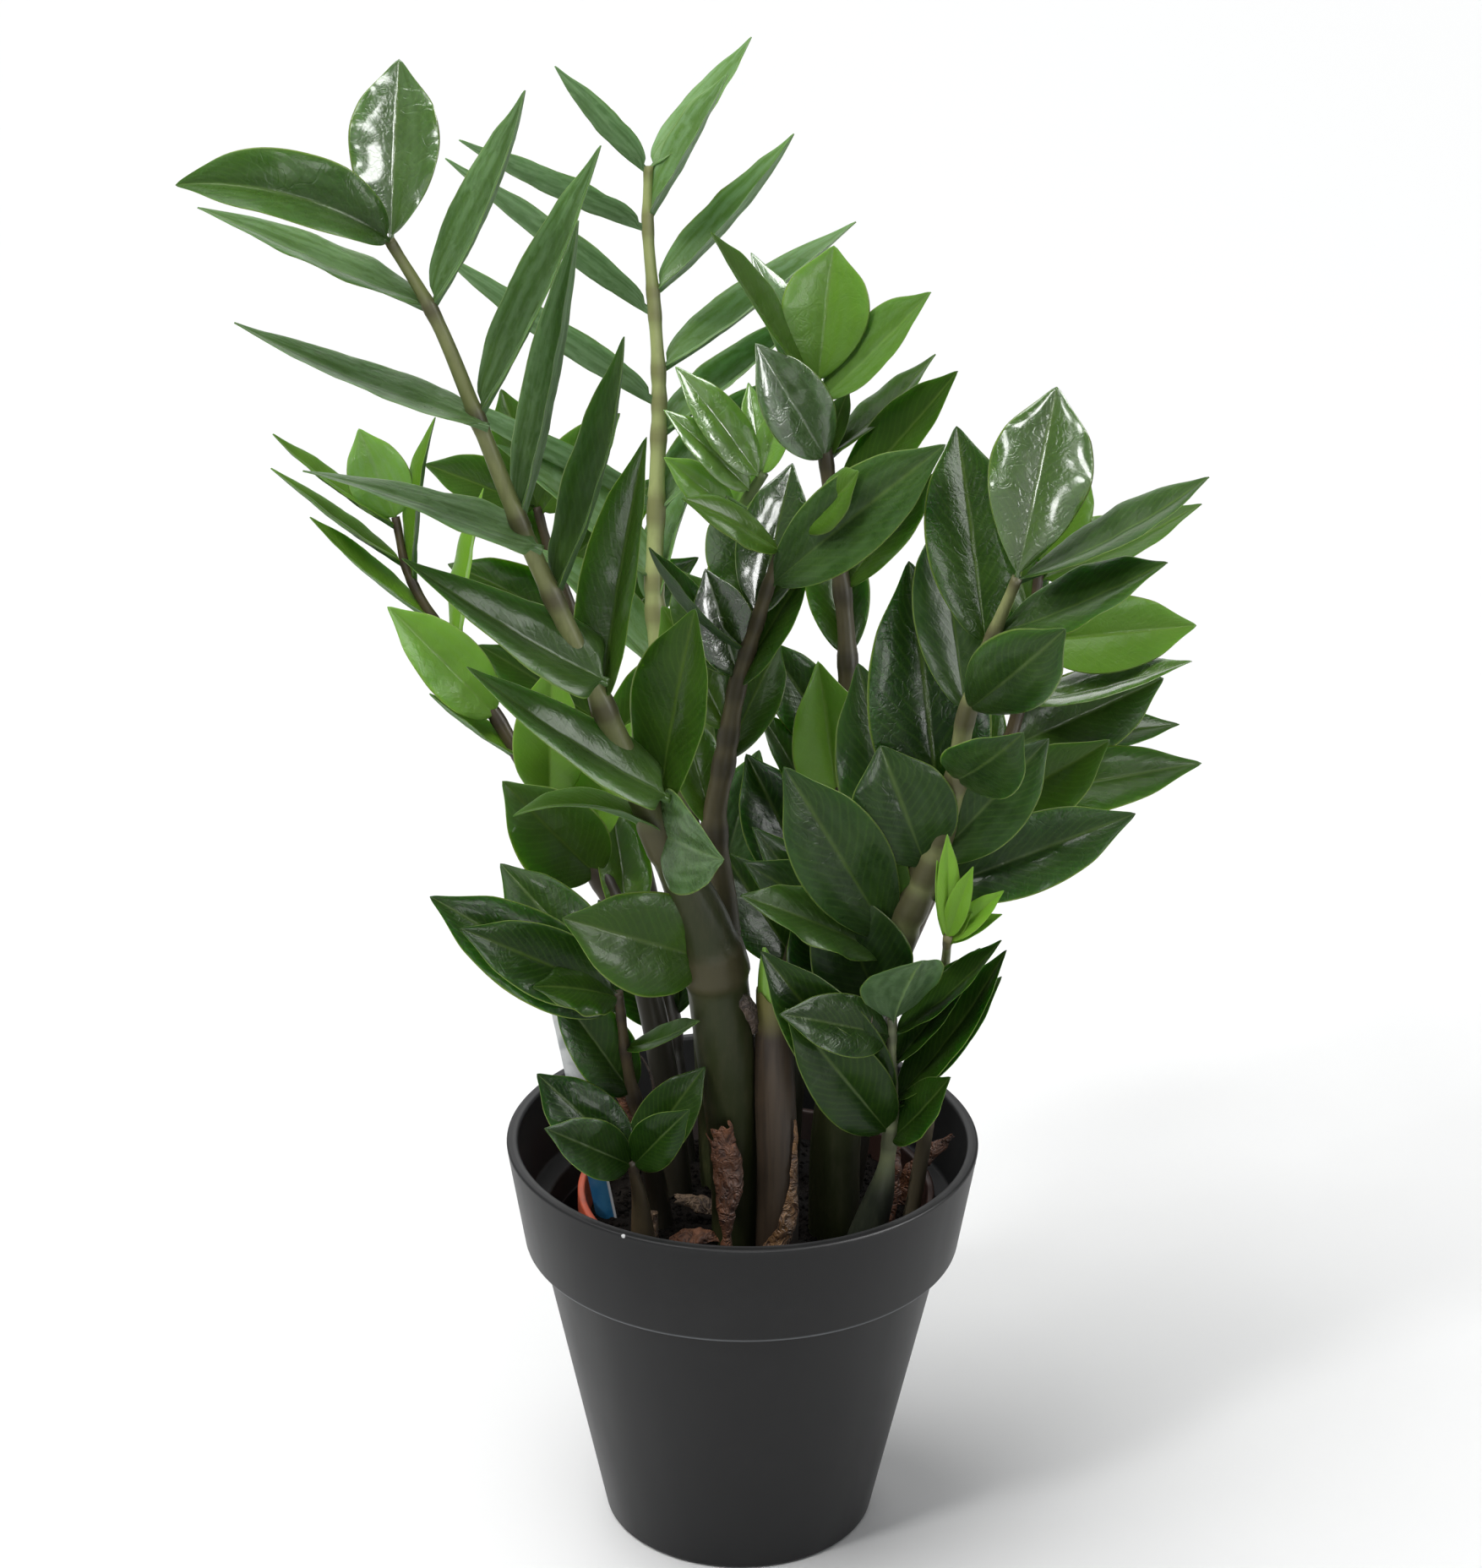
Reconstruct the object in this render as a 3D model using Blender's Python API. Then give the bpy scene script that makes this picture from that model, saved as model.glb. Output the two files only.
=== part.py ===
"""A potted ZZ plant: a charcoal planter, a nursery pot of soil inside it, and fronds that stand in the soil.

Metres, +Z up, the plant's front towards -Y. The origin is the centre of the planter's flat underside.
Tables hold millimetres and degrees, read from the plant as it is seen from the front.
"""

import math

import bmesh
import bpy
import numpy as np
from mathutils import Vector

MM = 0.001
GAP = 0.3

# Planter: a tapered body under a wider band, turned round the Z axis. Radius and height in millimetres.
PLANTER_HEIGHT = 178.0
RIM_RADIUS = 100.0
RIM_WALL = 5.0
BASE_RADIUS = 58.1
BODY_TOP_RADIUS = 86.0
BAND_FOOT = 131.5
BAND_FOOT_RADIUS = 92.4
LEDGE_HEIGHT = 145.0
FLOOR = 4.0
BODY_WALL = 3.0
FOOT_CORNER = 2.0
LIP_CORNER = 1.4
RIM_CORNER = 1.0
INNER_CORNER = 1.5
TURNED_SIDES = 40

# Nursery pot: thin plastic, standing on the planter's floor a little right of its centre.
NURSERY_X = 6.0
NURSERY_HEIGHT = 149.0
NURSERY_RIM_RADIUS = 76.0
NURSERY_BASE_RADIUS = 47.0
NURSERY_WALL = 1.8
NURSERY_LIP = 1.2
NURSERY_LIP_DEPTH = 9.0
NURSERY_CORNER = 0.8
NURSERY_FOOT = FLOOR + GAP
DRAIN_HOLES = 5
DRAIN_RADIUS = 4.0
DRAIN_CIRCLE = 30.0
DRAIN_SIDES = 10
DRAIN_OVERCUT = 2.0

# Soil: fills the nursery pot to a lumpy top, with a plain hole for each thing that stands in it.
SOIL_TOP = 141.0
SOIL_RELIEF = 1.6
SOIL_WALL_GAP = 0.4
SOIL_RING_SHARES = (0.22, 0.45, 0.66, 0.84, 1.0)
STEM_FOOT = 104.0
FOOT_DRAW = 0.88
FOOT_TAPER = 0.8
HOLE_CLEARANCE = 0.45
HOLE_ABOVE_SOIL = 5.0

# Plant label: a plain strip that leans to the left.
LABEL_FOOT = (-52.5, -8, 115)
LABEL_TOP = (-77, -4, 242)
LABEL_WIDTH = 8.5
LABEL_THICKNESS = 1.2

# Leaflets: thickness at the margin and along the midrib, and how far each half is folded up from flat.
MARGIN = 0.8
MIDRIB = 1.5
FOLD = 16.0
OUTLINE_SKEW = 0.85
OUTLINE_FULLNESS = 0.8
RING_SHARES = (0.2, 0.48, 0.76)
LEAF_STALK = 2.0
STALK_SHARE = 0.5
STALK_FLATNESS = 0.6
NEAREST_ROOT = 1.5
ROOT_INSET = 0.4
STEM_SIDES = 8
THIN_STEM_SIDES = 6
THIN_STEM = 6.3
STEM_RING_SPACING = 42.0
CURVE_STEPS = 16
SHARP_ANGLE = 38.0

# Colour in linear light, and roughness, by the start of a node's name.
FINISHES = {
    "frond_young": ((0.22, 0.42, 0.07), 0.4),
    "frond_inner_young": ((0.16, 0.34, 0.06), 0.35),
    "frond": ((0.035, 0.13, 0.03), 0.25),
    "shoot_spear": ((0.14, 0.08, 0.05), 0.7),
    "dry": ((0.3, 0.12, 0.05), 0.8),
}

# Fronds. stem: x, y, z and radius, from the soil up to the last pair of leaflets.
# leaflets: distance down the stem from its top, the direction that the leaflet points to as a clock
# angle from +X in the XZ plane, its lean towards the front, its length from root to tip, its width,
# the turn of its upper face from the front towards the sky, and the bend of its midrib from root to tip.
FRONDS = {
    "frond_left_tall": {
        "stem": (
            (-3, -25, 141, 9.6), (-4, -27, 185, 10.2), (-9, -34, 250, 13.0), (-15, -40, 287, 12.0),
            (-26, -48, 319, 8.8), (-38, -54, 348, 6.6), (-52, -61, 385, 4.8), (-60, -65, 407, 4.2),
            (-83, -75, 465, 3.5), (-99, -82, 511, 3.0), (-113, -87, 550, 2.6), (-129, -90, 580, 1.8),
        ),
        "leaflets": (
            (0, 87, -12, 64, 33, 0, 12), (0, 163, 10, 77, 33, 38, 95),
            (29, 155, 0, 89, 31, 84, -8), (29, 65, 5, 88, 30, 62, -24),
            (76, 157, 5, 95, 32, 86, -8), (74, 66, 5, 112, 31, 60, -20),
            (127, 160, 5, 87, 33, 84, 8), (118, 79, 0, 115, 31, 66, -18),
            (186, 144, 12, 86, 37, 62, -10), (152, 75, 5, 107, 31, 64, -26),
            (239, 138, 18, 89, 35, 70, -10), (203, 81, -6, 106, 32, 38, 12),
            (268, 160, 22, 66, 24, 96, 58), (262, 81, 8, 98, 37, 40, 14),
            (264, 15, 58, 50, 42, 14, 10), (330, 149, 30, 78, 43, 22, 16),
        ),
    },
    "frond_back_tall": {
        "stem": (
            (-10, 25, 141, 8.2), (-14, 32, 219, 8.6), (-21, 43, 274, 7.4), (-32, 56, 333, 5.2),
            (-39, 69, 388, 4.1), (-39, 79, 427, 3.6), (-38, 89, 473, 3.1), (-40, 97, 507, 2.7),
            (-43, 102, 541, 2.4), (-43, 105, 568, 1.8),
        ),
        "leaflets": (
            (0, 131, 0, 56, 26, 118, -38), (0, 52, -14, 68, 28, 66, -38),
            (25, 154, 5, 85, 29, 116, -24), (21, 63, 16, 73, 26, 72, -14),
            (60, 144, -8, 106, 30, 118, -22), (52, 49, 0, 88, 30, 72, -28),
            (97, 144, 6, 113, 30, 118, -22), (84, 35, -22, 106, 31, 70, -20),
            (139, 153, -4, 106, 31, 114, -20), (111, 36, -24, 86, 30, 68, -14),
            (172, 141, -10, 87, 32, 60, 12), (144, 43, -26, 82, 30, 60, 12),
            (211, 139, -18, 76, 30, 60, 16), (185, 70, -40, 78, 30, 60, 14),
        ),
    },
    "frond_centre": {
        "stem": (
            (-1, 6, 141, 7.4), (-6, 4, 232, 7.8), (-9, 2, 280, 6.6), (-13, 0, 318, 5.2),
            (-9, -2, 348, 4.4), (-4, -5, 382, 3.6), (3, -8, 408, 2.9), (11, -11, 436, 2.3),
            (19, -12, 452, 1.8),
        ),
        "leaflets": (
            (2, 54, 34, 46, 24, 66, -34), (14, 145, 20, 50, 24, 74, 20),
            (30, 45, 16, 99, 34, 26, 16), (44, 108, -42, 56, 28, 0, 10),
            (45, 77, -20, 64, 30, 18, 10), (58, 129, 16, 64, 25, 86, -44),
            (76, 61, 2, 60, 26, 52, 14), (72, 124, -30, 52, 26, 10, 14),
            (72, 106, 4, 50, 26, 16, 10), (141, 109, -20, 54, 26, 40, 14),
            (110, 61, -35, 56, 26, 30, 14), (96, 119, -14, 58, 28, 24, 14),
        ),
    },
    "frond_centre_back": {
        "stem": (
            (18, 36, 141, 6.8), (23, 43, 234, 7.6), (35, 47, 292, 6.4), (41, 51, 328, 5.0),
            (42, 55, 365, 4.2), (40, 59, 393, 3.8), (36, 60, 422, 3.5), (31, 64, 458, 2.9),
            (27, 66, 488, 2.0),
        ),
        "leaflets": (
            (0, 84, -10, 57, 37, 4, 12), (8, 49, 12, 67, 30, 56, -12),
            (4, 121, 18, 88, 29, 78, -10), (12, 116, -16, 70, 22, 40, 12),
            (33, 118, 20, 66, 30, 20, 14), (33, 71, -30, 32, 14, 40, 10),
            (53, 51, 8, 80, 31, 56, -10), (32, 38, -28, 66, 26, 76, -14),
            (89, 50, -20, 62, 28, 50, 14), (118, 101, -30, 66, 28, 10, 12),
            (179, 98, 16, 72, 40, 6, 16), (148, 147, -22, 60, 26, 55, 14),
            (197, 117, 2, 68, 26, 46, 14), (160, 124, -4, 62, 28, 10, 14),
            (222, 115, 0, 70, 36, 12, 14), (256, 122, -2, 62, 32, 12, 14),
        ),
    },
    "frond_inner_young": {
        "stem": (
            (-4, 49, 141, 5.6), (-8, 54, 228, 5.9), (-13, 60, 285, 5.1), (-17, 64, 342, 3.9),
            (-17, 64, 391, 3.2), (-12, 63, 417, 2.8), (-6, 62, 431, 2.5), (6, 61, 451, 1.8),
        ),
        "leaflets": (
            (3, 124, 14, 63, 20, 30, 12), (0, 100, -30, 40, 14, 20, 10),
            (2, 72, -18, 33, 14, 20, 10), (10, 132, 20, 57, 17, 36, 12),
            (23, 134, 20, 44, 18, 40, 12), (37, 70, -10, 40, 18, 40, 10),
            (190, 74, -12, 62, 30, 12, 14),
        ),
    },
    "frond_right": {
        "stem": (
            (39, -14, 141, 11.0), (39, -16, 183, 11.0), (43, -19, 221, 10.2), (53, -23, 258, 8.7),
            (64, -29, 290, 7.2), (74, -33, 319, 5.8), (82, -40, 354, 4.5), (85, -45, 384, 3.6),
            (93, -51, 417, 2.9), (102, -55, 445, 1.9),
        ),
        "leaflets": (
            (0, 80, -8, 75, 40, 0, 14), (34, 99, -24, 88, 39, 8, 12),
            (64, 99, -30, 80, 34, 10, 12), (117, 98, -14, 108, 50, 6, 12),
            (153, 104, -18, 99, 41, 10, 12), (0, 31, 0, 82, 33, 84, -22),
            (26, 31, 16, 75, 34, 68, -16), (60, 58, 40, 76, 33, 14, 20),
            (92, 62, 50, 68, 32, 10, 20), (134, 52, 6, 73, 33, 14, 16),
            (150, 25, 4, 95, 32, 20, -8), (136, 110, 8, 60, 43, 4, 40),
            (174, 117, 18, 105, 39, 16, 14), (170, 112, 8, 72, 32, 6, 14),
            (180, 145, 2, 72, 30, 40, 12), (181, 144, 28, 84, 27, 62, 14),
            (198, 127, -8, 84, 30, 40, 14), (222, 116, -4, 60, 30, 14, 14),
            (200, 110, 12, 60, 42, 10, 14),
        ),
    },
    "frond_right_back": {
        "stem": (
            (46, 20, 141, 6.2), (57, 29, 221, 6.5), (73, 38, 265, 5.7), (90, 46, 296, 4.6),
            (105, 52, 321, 3.9), (113, 58, 344, 3.0), (117, 64, 367, 2.6), (122, 72, 410, 1.8),
        ),
        "leaflets": (
            (0, 64, -8, 44, 22, 10, 12), (4, 17, -40, 54, 22, 20, 12),
            (8, 27, 0, 75, 30, 66, -12), (34, 9, 6, 70, 34, 22, 12),
            (60, 21, 12, 75, 28, 80, -18), (80, 22, -12, 73, 38, 26, -12),
            (112, 42, 26, 78, 36, 8, 16), (85, 3, -24, 86, 26, 60, 14),
            (107, 13, 2, 95, 30, 36, 18), (26, 109, -20, 60, 28, 20, 12),
            (48, 123, -20, 60, 28, 20, 12), (88, 126, -22, 60, 28, 20, 12),
        ),
    },
    "frond_front_right": {
        "stem": (
            (50, -36, 141, 8.2), (53, -36, 153, 7.8), (57, -36, 168, 6.2), (59, -36, 178, 4.4),
            (60, -36, 187, 3.2), (61, -38, 207, 2.9), (60, -40, 231, 2.4), (60, -42, 253, 1.8),
        ),
        "leaflets": (
            (0, 78, 40, 58, 35, 160, 20), (8, 46, 4, 62, 22, 78, -20),
            (23, 56, -5, 62, 24, 66, -20), (41, 57, -2, 82, 27, 64, -20),
            (45, 49, -20, 72, 24, 66, -18), (59, 62, 26, 52, 22, 60, -16),
            (55, 122, 20, 88, 32, 16, 14), (30, 134, 3, 66, 28, 20, 14),
            (8, 152, 32, 62, 26, 40, 14), (44, 124, 12, 100, 34, 12, 12),
        ),
    },
    "frond_young": {
        "stem": (
            (72, -4, 141, 3.4), (77, -6, 181, 3.2), (80, -8, 212, 2.6), (82, -12, 250, 2.1),
            (82, -20, 266, 2.0), (81.5, -34, 280, 1.8), (80.8, -48, 292, 1.7),
        ),
        "leaflets": (
            (0, 92, 4, 46, 10, 10, 8), (0, 76, 12, 36, 10, 20, 8),
            (4, 50, 14, 34, 11, 30, 10), (7, 37, 16, 27, 9, 50, 10),
            (9, 64, 26, 22, 8, 50, 10), (5, 99, 8, 38, 9, 30, 8),
        ),
    },
    "frond_lower_left": {
        "stem": (
            (-34, -12, 141, 5.2), (-38, -16, 170, 4.8), (-45, -24, 206, 3.1), (-48, -28, 226, 2.4),
            (-51, -35, 260, 1.8),
        ),
        "leaflets": (
            (11, 146, 0, 92, 37, 34, 14), (0, 148, 16, 75, 30, 34, 10),
            (2, 141, -32, 76, 32, 26, 14), (3, 156, 30, 42, 24, 62, 30),
            (54, 120, 10, 66, 28, 30, 14), (29, 38, 31, 46, 16, 90, -14),
        ),
    },
    "frond_left_back": {
        "stem": (
            (-27, 15, 141, 6.0), (-37, 24, 214, 6.1), (-49, 33, 254, 5.3), (-65, 40, 285, 4.6),
            (-81, 47, 306, 3.9), (-97, 54, 330, 3.3), (-116, 62, 360, 2.6), (-141, 72, 398, 2.0),
            (-148, 78, 425, 1.6),
        ),
        "leaflets": (
            (0, 110, 0, 42, 27, 10, 14), (4, 140, 10, 66, 22, 94, -16),
            (20, 142, 0, 68, 23, 94, -16), (47, 137, 6, 69, 24, 92, -16),
            (96, 129, 10, 70, 30, 36, 12), (115, 143, 4, 48, 22, 92, -14),
            (176, 128, 16, 66, 40, 12, 14), (29, 82, 0, 73, 20, 70, 10),
            (64, 80, -6, 72, 24, 66, 10), (138, 88, 6, 66, 32, 6, 16),
            (165, 72, -10, 60, 28, 40, 14), (202, 100, -26, 62, 28, 40, 14),
        ),
    },
    "frond_back_left": {
        "stem": (
            (-26, 46, 141, 5.8), (-37, 63, 224, 5.9), (-48, 76, 278, 5.1), (-62, 88, 328, 4.0),
            (-74, 101, 370, 3.0), (-86, 109, 402, 2.3), (-91, 114, 419, 1.8),
        ),
        "leaflets": (
            (0, 158, 0, 52, 26, 50, 14), (0, 107, -10, 54, 26, 20, 12),
            (4, 52, -10, 56, 26, 30, 12), (24, 145, -15, 60, 26, 50, 12),
            (30, 43, -10, 60, 26, 30, 12), (56, 156, -14, 64, 28, 50, 14),
            (65, 39, -8, 64, 28, 40, 14), (98, 151, -14, 64, 28, 50, 14),
            (107, 47, -6, 64, 28, 40, 14), (236, 118, -10, 66, 32, 14, 14),
            (232, 82, -24, 62, 30, 14, 14),
        ),
    },
    "frond_low": {
        "stem": (
            (-40, -42, 141, 6.0), (-42, -46, 171, 3.5), (-44, -48, 183, 2.2), (-45, -49, 191, 1.8),
        ),
        "leaflets": (
            (0, 137, -8, 54, 28, 24, 14), (3, 141, 26, 50, 24, 40, 10),
            (3, 58, 26, 48, 21, 30, 12), (3, 56, -6, 52, 24, 26, 12),
        ),
    },
    "shoot_spear": {
        "stem": (
            (15, -34, 141, 8.7), (15, -34, 175, 8.6), (13, -34, 222, 8.2), (12, -34, 250, 6.8),
            (10.6, -34, 264, 5.5), (9.4, -34, 273, 3.6), (8, -34, 280, 0.8),
        ),
        "leaflets": (),
    },
    "dry_bract_centre": {
        "stem": ((-7, -40, 141, 1.8), (-7, -42, 152, 1.6), (-7, -43, 160, 1.4)),
        "leaflets": ((6, 92, -4, 44, 15, 0, 10),),
    },
    "dry_bract_right": {
        "stem": ((61, -10, 141, 1.8), (62, -10, 148, 1.6), (63, -10, 154, 1.4)),
        "leaflets": ((6, 82, 0, 36, 9, 0, 10),),
    },
    "dry_bract_edge": {
        "stem": ((67, 8, 141, 1.6), (70, 8, 149, 1.4), (73, 8, 156, 1.2)),
        "leaflets": ((2, 44, -4, 23, 8, 20, 20),),
    },
    "dry_bract_low": {
        "stem": ((-9, -9, 141, 1.8), (-9, -9, 145, 1.8), (-10, -9, 149, 1.4)),
        "leaflets": ((3, 166, 0, 18, 9, 60, 10),),
    },
    "dry_stub": {
        "stem": ((-37, -24, 141, 2.3), (-37, -24, 147, 2.1), (-37, -24, 153, 1.9)),
        "leaflets": (),
    },
}


def direction(clock, lean):
    """Unit vector at a clock angle from +X in the XZ plane, leaning towards the front."""
    clock, lean = math.radians(clock), math.radians(lean)
    return np.array((math.cos(clock) * math.cos(lean), -math.sin(lean), math.sin(clock) * math.cos(lean)))


def normal_at(along, face):
    """Upper normal of a blade: 0 looks to the front, 90 to the side that is nearer the sky."""
    front = np.array((0.0, -1.0, 0.0))
    front = front - along * np.dot(front, along)
    front /= np.linalg.norm(front)
    sky = np.cross(front, along)
    sky = sky if sky[2] >= 0 else -sky
    face = math.radians(face)
    return front * math.cos(face) + sky * math.sin(face)


def smooth_line(points, spacing):
    """A Catmull-Rom curve through rows of x, y, z and radius, sampled evenly, with each sample's distance."""
    rows = np.array(points, float)
    rows = np.vstack((2 * rows[0] - rows[1], rows, 2 * rows[-1] - rows[-2]))
    fine = []
    for a, b, c, d in zip(rows, rows[1:], rows[2:], rows[3:]):
        for t in np.linspace(0, 1, CURVE_STEPS, endpoint=False):
            fine.append(0.5 * (2 * b + (c - a) * t + (2 * a - 5 * b + 4 * c - d) * t**2
                               + (3 * b - a - 3 * c + d) * t**3))
    fine.append(rows[-2])
    fine = np.array(fine)
    steps = np.linalg.norm(np.diff(fine[:, :3], axis=0), axis=1)
    distance = np.concatenate(((0.0,), np.cumsum(steps)))
    count = max(2, round(distance[-1] / spacing)) + 1
    samples = np.linspace(0, distance[-1], count)
    return np.stack([np.interp(samples, distance, column) for column in fine.T], 1), samples


def outline(share):
    """Half-width of a leaflet, as a share of its greatest, at a share of its length."""
    return math.sin(math.pi * share**OUTLINE_SKEW) ** OUTLINE_FULLNESS


def blade(root, clock, lean, length, width, face, bend, stalk):
    """Points and triangles of one leaflet: six points round each ring, and a pointed tip."""
    along = direction(clock, lean)
    up = normal_at(along, face)
    side = np.cross(along, up)
    turn = math.radians(bend)
    fold = math.radians(FOLD)
    chord = length / (2 * math.sin(turn / 2))
    rings = []
    for share in (0.0,) + RING_SHARES:
        angle = turn * (0.5 - share)
        centre = root + along * chord * (math.sin(turn / 2) - math.sin(angle))
        centre = centre + up * chord * (math.cos(angle) - math.cos(turn / 2))
        normal = up * math.cos(angle) - along * math.sin(angle)
        half = max(outline(share) * width / 2, stalk) if share else stalk
        reach = side * half * math.cos(fold)
        lift = normal * half * math.sin(fold)
        margin = normal * (MARGIN / 2 if share else stalk * STALK_FLATNESS)
        left, right = centre - reach + lift, centre + reach + lift
        under = centre - normal * MIDRIB + margin
        rings.append((left + margin, centre + margin, right + margin, right - margin, under, left - margin))
    points = [point for ring in rings for point in ring] + [root + along * length]
    faces = [(5, 4, 1, 0), (4, 3, 2, 1)]
    for start in range(0, 6 * len(rings) - 6, 6):
        for k in range(6):
            a, b = start + k, start + (k + 1) % 6
            # Both faces of the blade are split along like diagonals, so they never cross.
            if k in (0, 3):
                faces += [(a, b, b + 6), (a, b + 6, a + 6)]
            else:
                faces += [(a, b, a + 6), (b, b + 6, a + 6)]
    tip = 6 * len(rings)
    faces += [(tip - 6 + k, tip - 6 + (k + 1) % 6, tip) for k in range(6)]
    return np.array(points), faces


def tube(line, sides, grow=0.0):
    """Points and faces of a closed round bar along rows of x, y, z and radius."""
    centres = line[:, :3]
    ahead = np.gradient(centres, axis=0)
    points = []
    for centre, radius, way in zip(centres, line[:, 3], ahead):
        way = way / np.linalg.norm(way)
        across = np.cross((0.0, 1.0, 0.0), way)
        across /= np.linalg.norm(across)
        other = np.cross(way, across)
        for k in range(sides):
            turn = 2 * math.pi * (k + 0.5) / sides
            points.append(centre + (across * math.cos(turn) + other * math.sin(turn)) * (radius + grow))
    faces = [tuple(reversed(range(sides)))]
    for start in range(0, len(points) - sides, sides):
        for k in range(sides):
            a, b = start + k, start + (k + 1) % sides
            faces.append((a, b, b + sides, a + sides))
    faces.append(tuple(range(len(points) - sides, len(points))))
    return np.array(points), faces


def stem_line(rows):
    """The stem's line, led down from the soil's top to its foot, which draws in towards the pot's axis."""
    x, y, _, radius = rows[0]
    foot = (NURSERY_X + (x - NURSERY_X) * FOOT_DRAW, y * FOOT_DRAW, STEM_FOOT, radius * FOOT_TAPER)
    return smooth_line((foot,) + tuple(rows), STEM_RING_SPACING)


def stem_sides(frond):
    """Sides of the stem's section: fewer on a thin stem."""
    return STEM_SIDES if frond["stem"][0][3] > THIN_STEM else THIN_STEM_SIDES


def frond_solids(frond):
    """Stem and leaflets of one frond, each as points and faces in millimetres."""
    line, distance = stem_line(frond["stem"])
    solids = [tube(line, stem_sides(frond))]
    for down, *shape in frond["leaflets"]:
        at = distance[-1] - max(down, NEAREST_ROOT)
        root = np.array([np.interp(at, distance, line[:, k]) for k in range(3)])
        radius = np.interp(at, distance, line[:, 3])
        clock, lean, length, *rest = shape
        inset = ROOT_INSET * radius
        root = root + direction(clock, lean) * inset
        stalk = min(STALK_SHARE * radius, LEAF_STALK)
        solids.append(blade(root, clock, lean, length - inset, *rest, stalk))
    return solids


def turned(profile, sides=TURNED_SIDES, x=0.0):
    """A solid turned round an upright axis: profile rows are radius and height, from axis to axis."""
    points = []
    rings = []
    for radius, height in profile:
        if radius == 0:
            rings.append([len(points)])
            points.append((x, 0, height))
            continue
        rings.append(list(range(len(points), len(points) + sides)))
        for k in range(sides):
            turn = 2 * math.pi * k / sides
            points.append((x + radius * math.cos(turn), radius * math.sin(turn), height))
    faces = []
    for low, high in zip(rings, rings[1:]):
        for k in range(sides):
            a, b = low[k % len(low)], low[(k + 1) % len(low)]
            c, d = high[(k + 1) % len(high)], high[k % len(high)]
            faces.append(tuple(dict.fromkeys((a, b, c, d))))
    return np.array(points, float), faces


def box_bar(foot, top, width, depth, grow=0.0):
    """A flat bar of rectangular section from foot to top, its broad side to the front."""
    foot, top = np.array(foot, float), np.array(top, float)
    way = (top - foot) / np.linalg.norm(top - foot)
    side = np.cross((0.0, 1.0, 0.0), way)
    side /= np.linalg.norm(side)
    front = np.cross(way, side)
    points = []
    for end in (foot - way * grow, top + way * grow):
        for a, b in ((-1, -1), (1, -1), (1, 1), (-1, 1)):
            points.append(end + side * a * (width / 2 + grow) + front * b * (depth / 2 + grow))
    faces = [(3, 2, 1, 0), (4, 5, 6, 7), (0, 1, 5, 4), (1, 2, 6, 5), (2, 3, 7, 6), (3, 0, 4, 7)]
    return np.array(points), faces


def material(name, colour, roughness):
    """A plain Principled material; colour is in linear light."""
    finish = bpy.data.materials.new(name)
    finish.use_nodes = True
    shader = finish.node_tree.nodes["Principled BSDF"]
    shader.inputs["Base Color"].default_value = (*colour, 1.0)
    shader.inputs["Roughness"].default_value = roughness
    shader.inputs["Metallic"].default_value = 0.0
    return finish


def add_solid(name, points, faces, collection=None):
    """An object in metres from points in millimetres, with its faces turned outwards."""
    mesh = bpy.data.meshes.new(name)
    shape = bmesh.new()
    corners = [shape.verts.new(Vector(point) * MM) for point in points]
    for face in faces:
        shape.faces.new([corners[k] for k in face])
    bmesh.ops.recalc_face_normals(shape, faces=shape.faces)
    shape.to_mesh(mesh)
    shape.free()
    solid = bpy.data.objects.new(name, mesh)
    (collection or bpy.context.scene.collection).objects.link(solid)
    return solid


def helpers(name, solids):
    """A collection of hidden solids for a Boolean."""
    collection = bpy.data.collections.new(name)
    bpy.context.scene.collection.children.link(collection)
    for number, (points, faces) in enumerate(solids):
        helper = add_solid(f"{name}_{number}", points, faces, collection)
        helper.hide_render = True
        helper.display_type = "WIRE"
    return collection


def boolean_with(solid, operation, name, solids):
    """Joins the solids to the object, or cuts them from it, and clears the helpers away."""
    if not solids:
        return
    collection = helpers(name, solids)
    modifier = solid.modifiers.new(name, "BOOLEAN")
    modifier.operation = operation
    modifier.operand_type = "COLLECTION"
    modifier.collection = collection
    bpy.context.view_layer.update()
    graph = bpy.context.evaluated_depsgraph_get()
    joined = bpy.data.meshes.new_from_object(solid.evaluated_get(graph))
    solid.modifiers.clear()
    solid.data = joined
    for helper in list(collection.objects):
        bpy.data.objects.remove(helper)
    bpy.data.collections.remove(collection)


def finish_solid(solid, finish, smooth=True):
    """One material, and round sides shaded smooth."""
    solid.data.materials.clear()
    solid.data.materials.append(finish)
    if smooth:
        solid.data.shade_smooth()
        solid.data.set_sharp_from_angle(angle=math.radians(SHARP_ANGLE))


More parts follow.
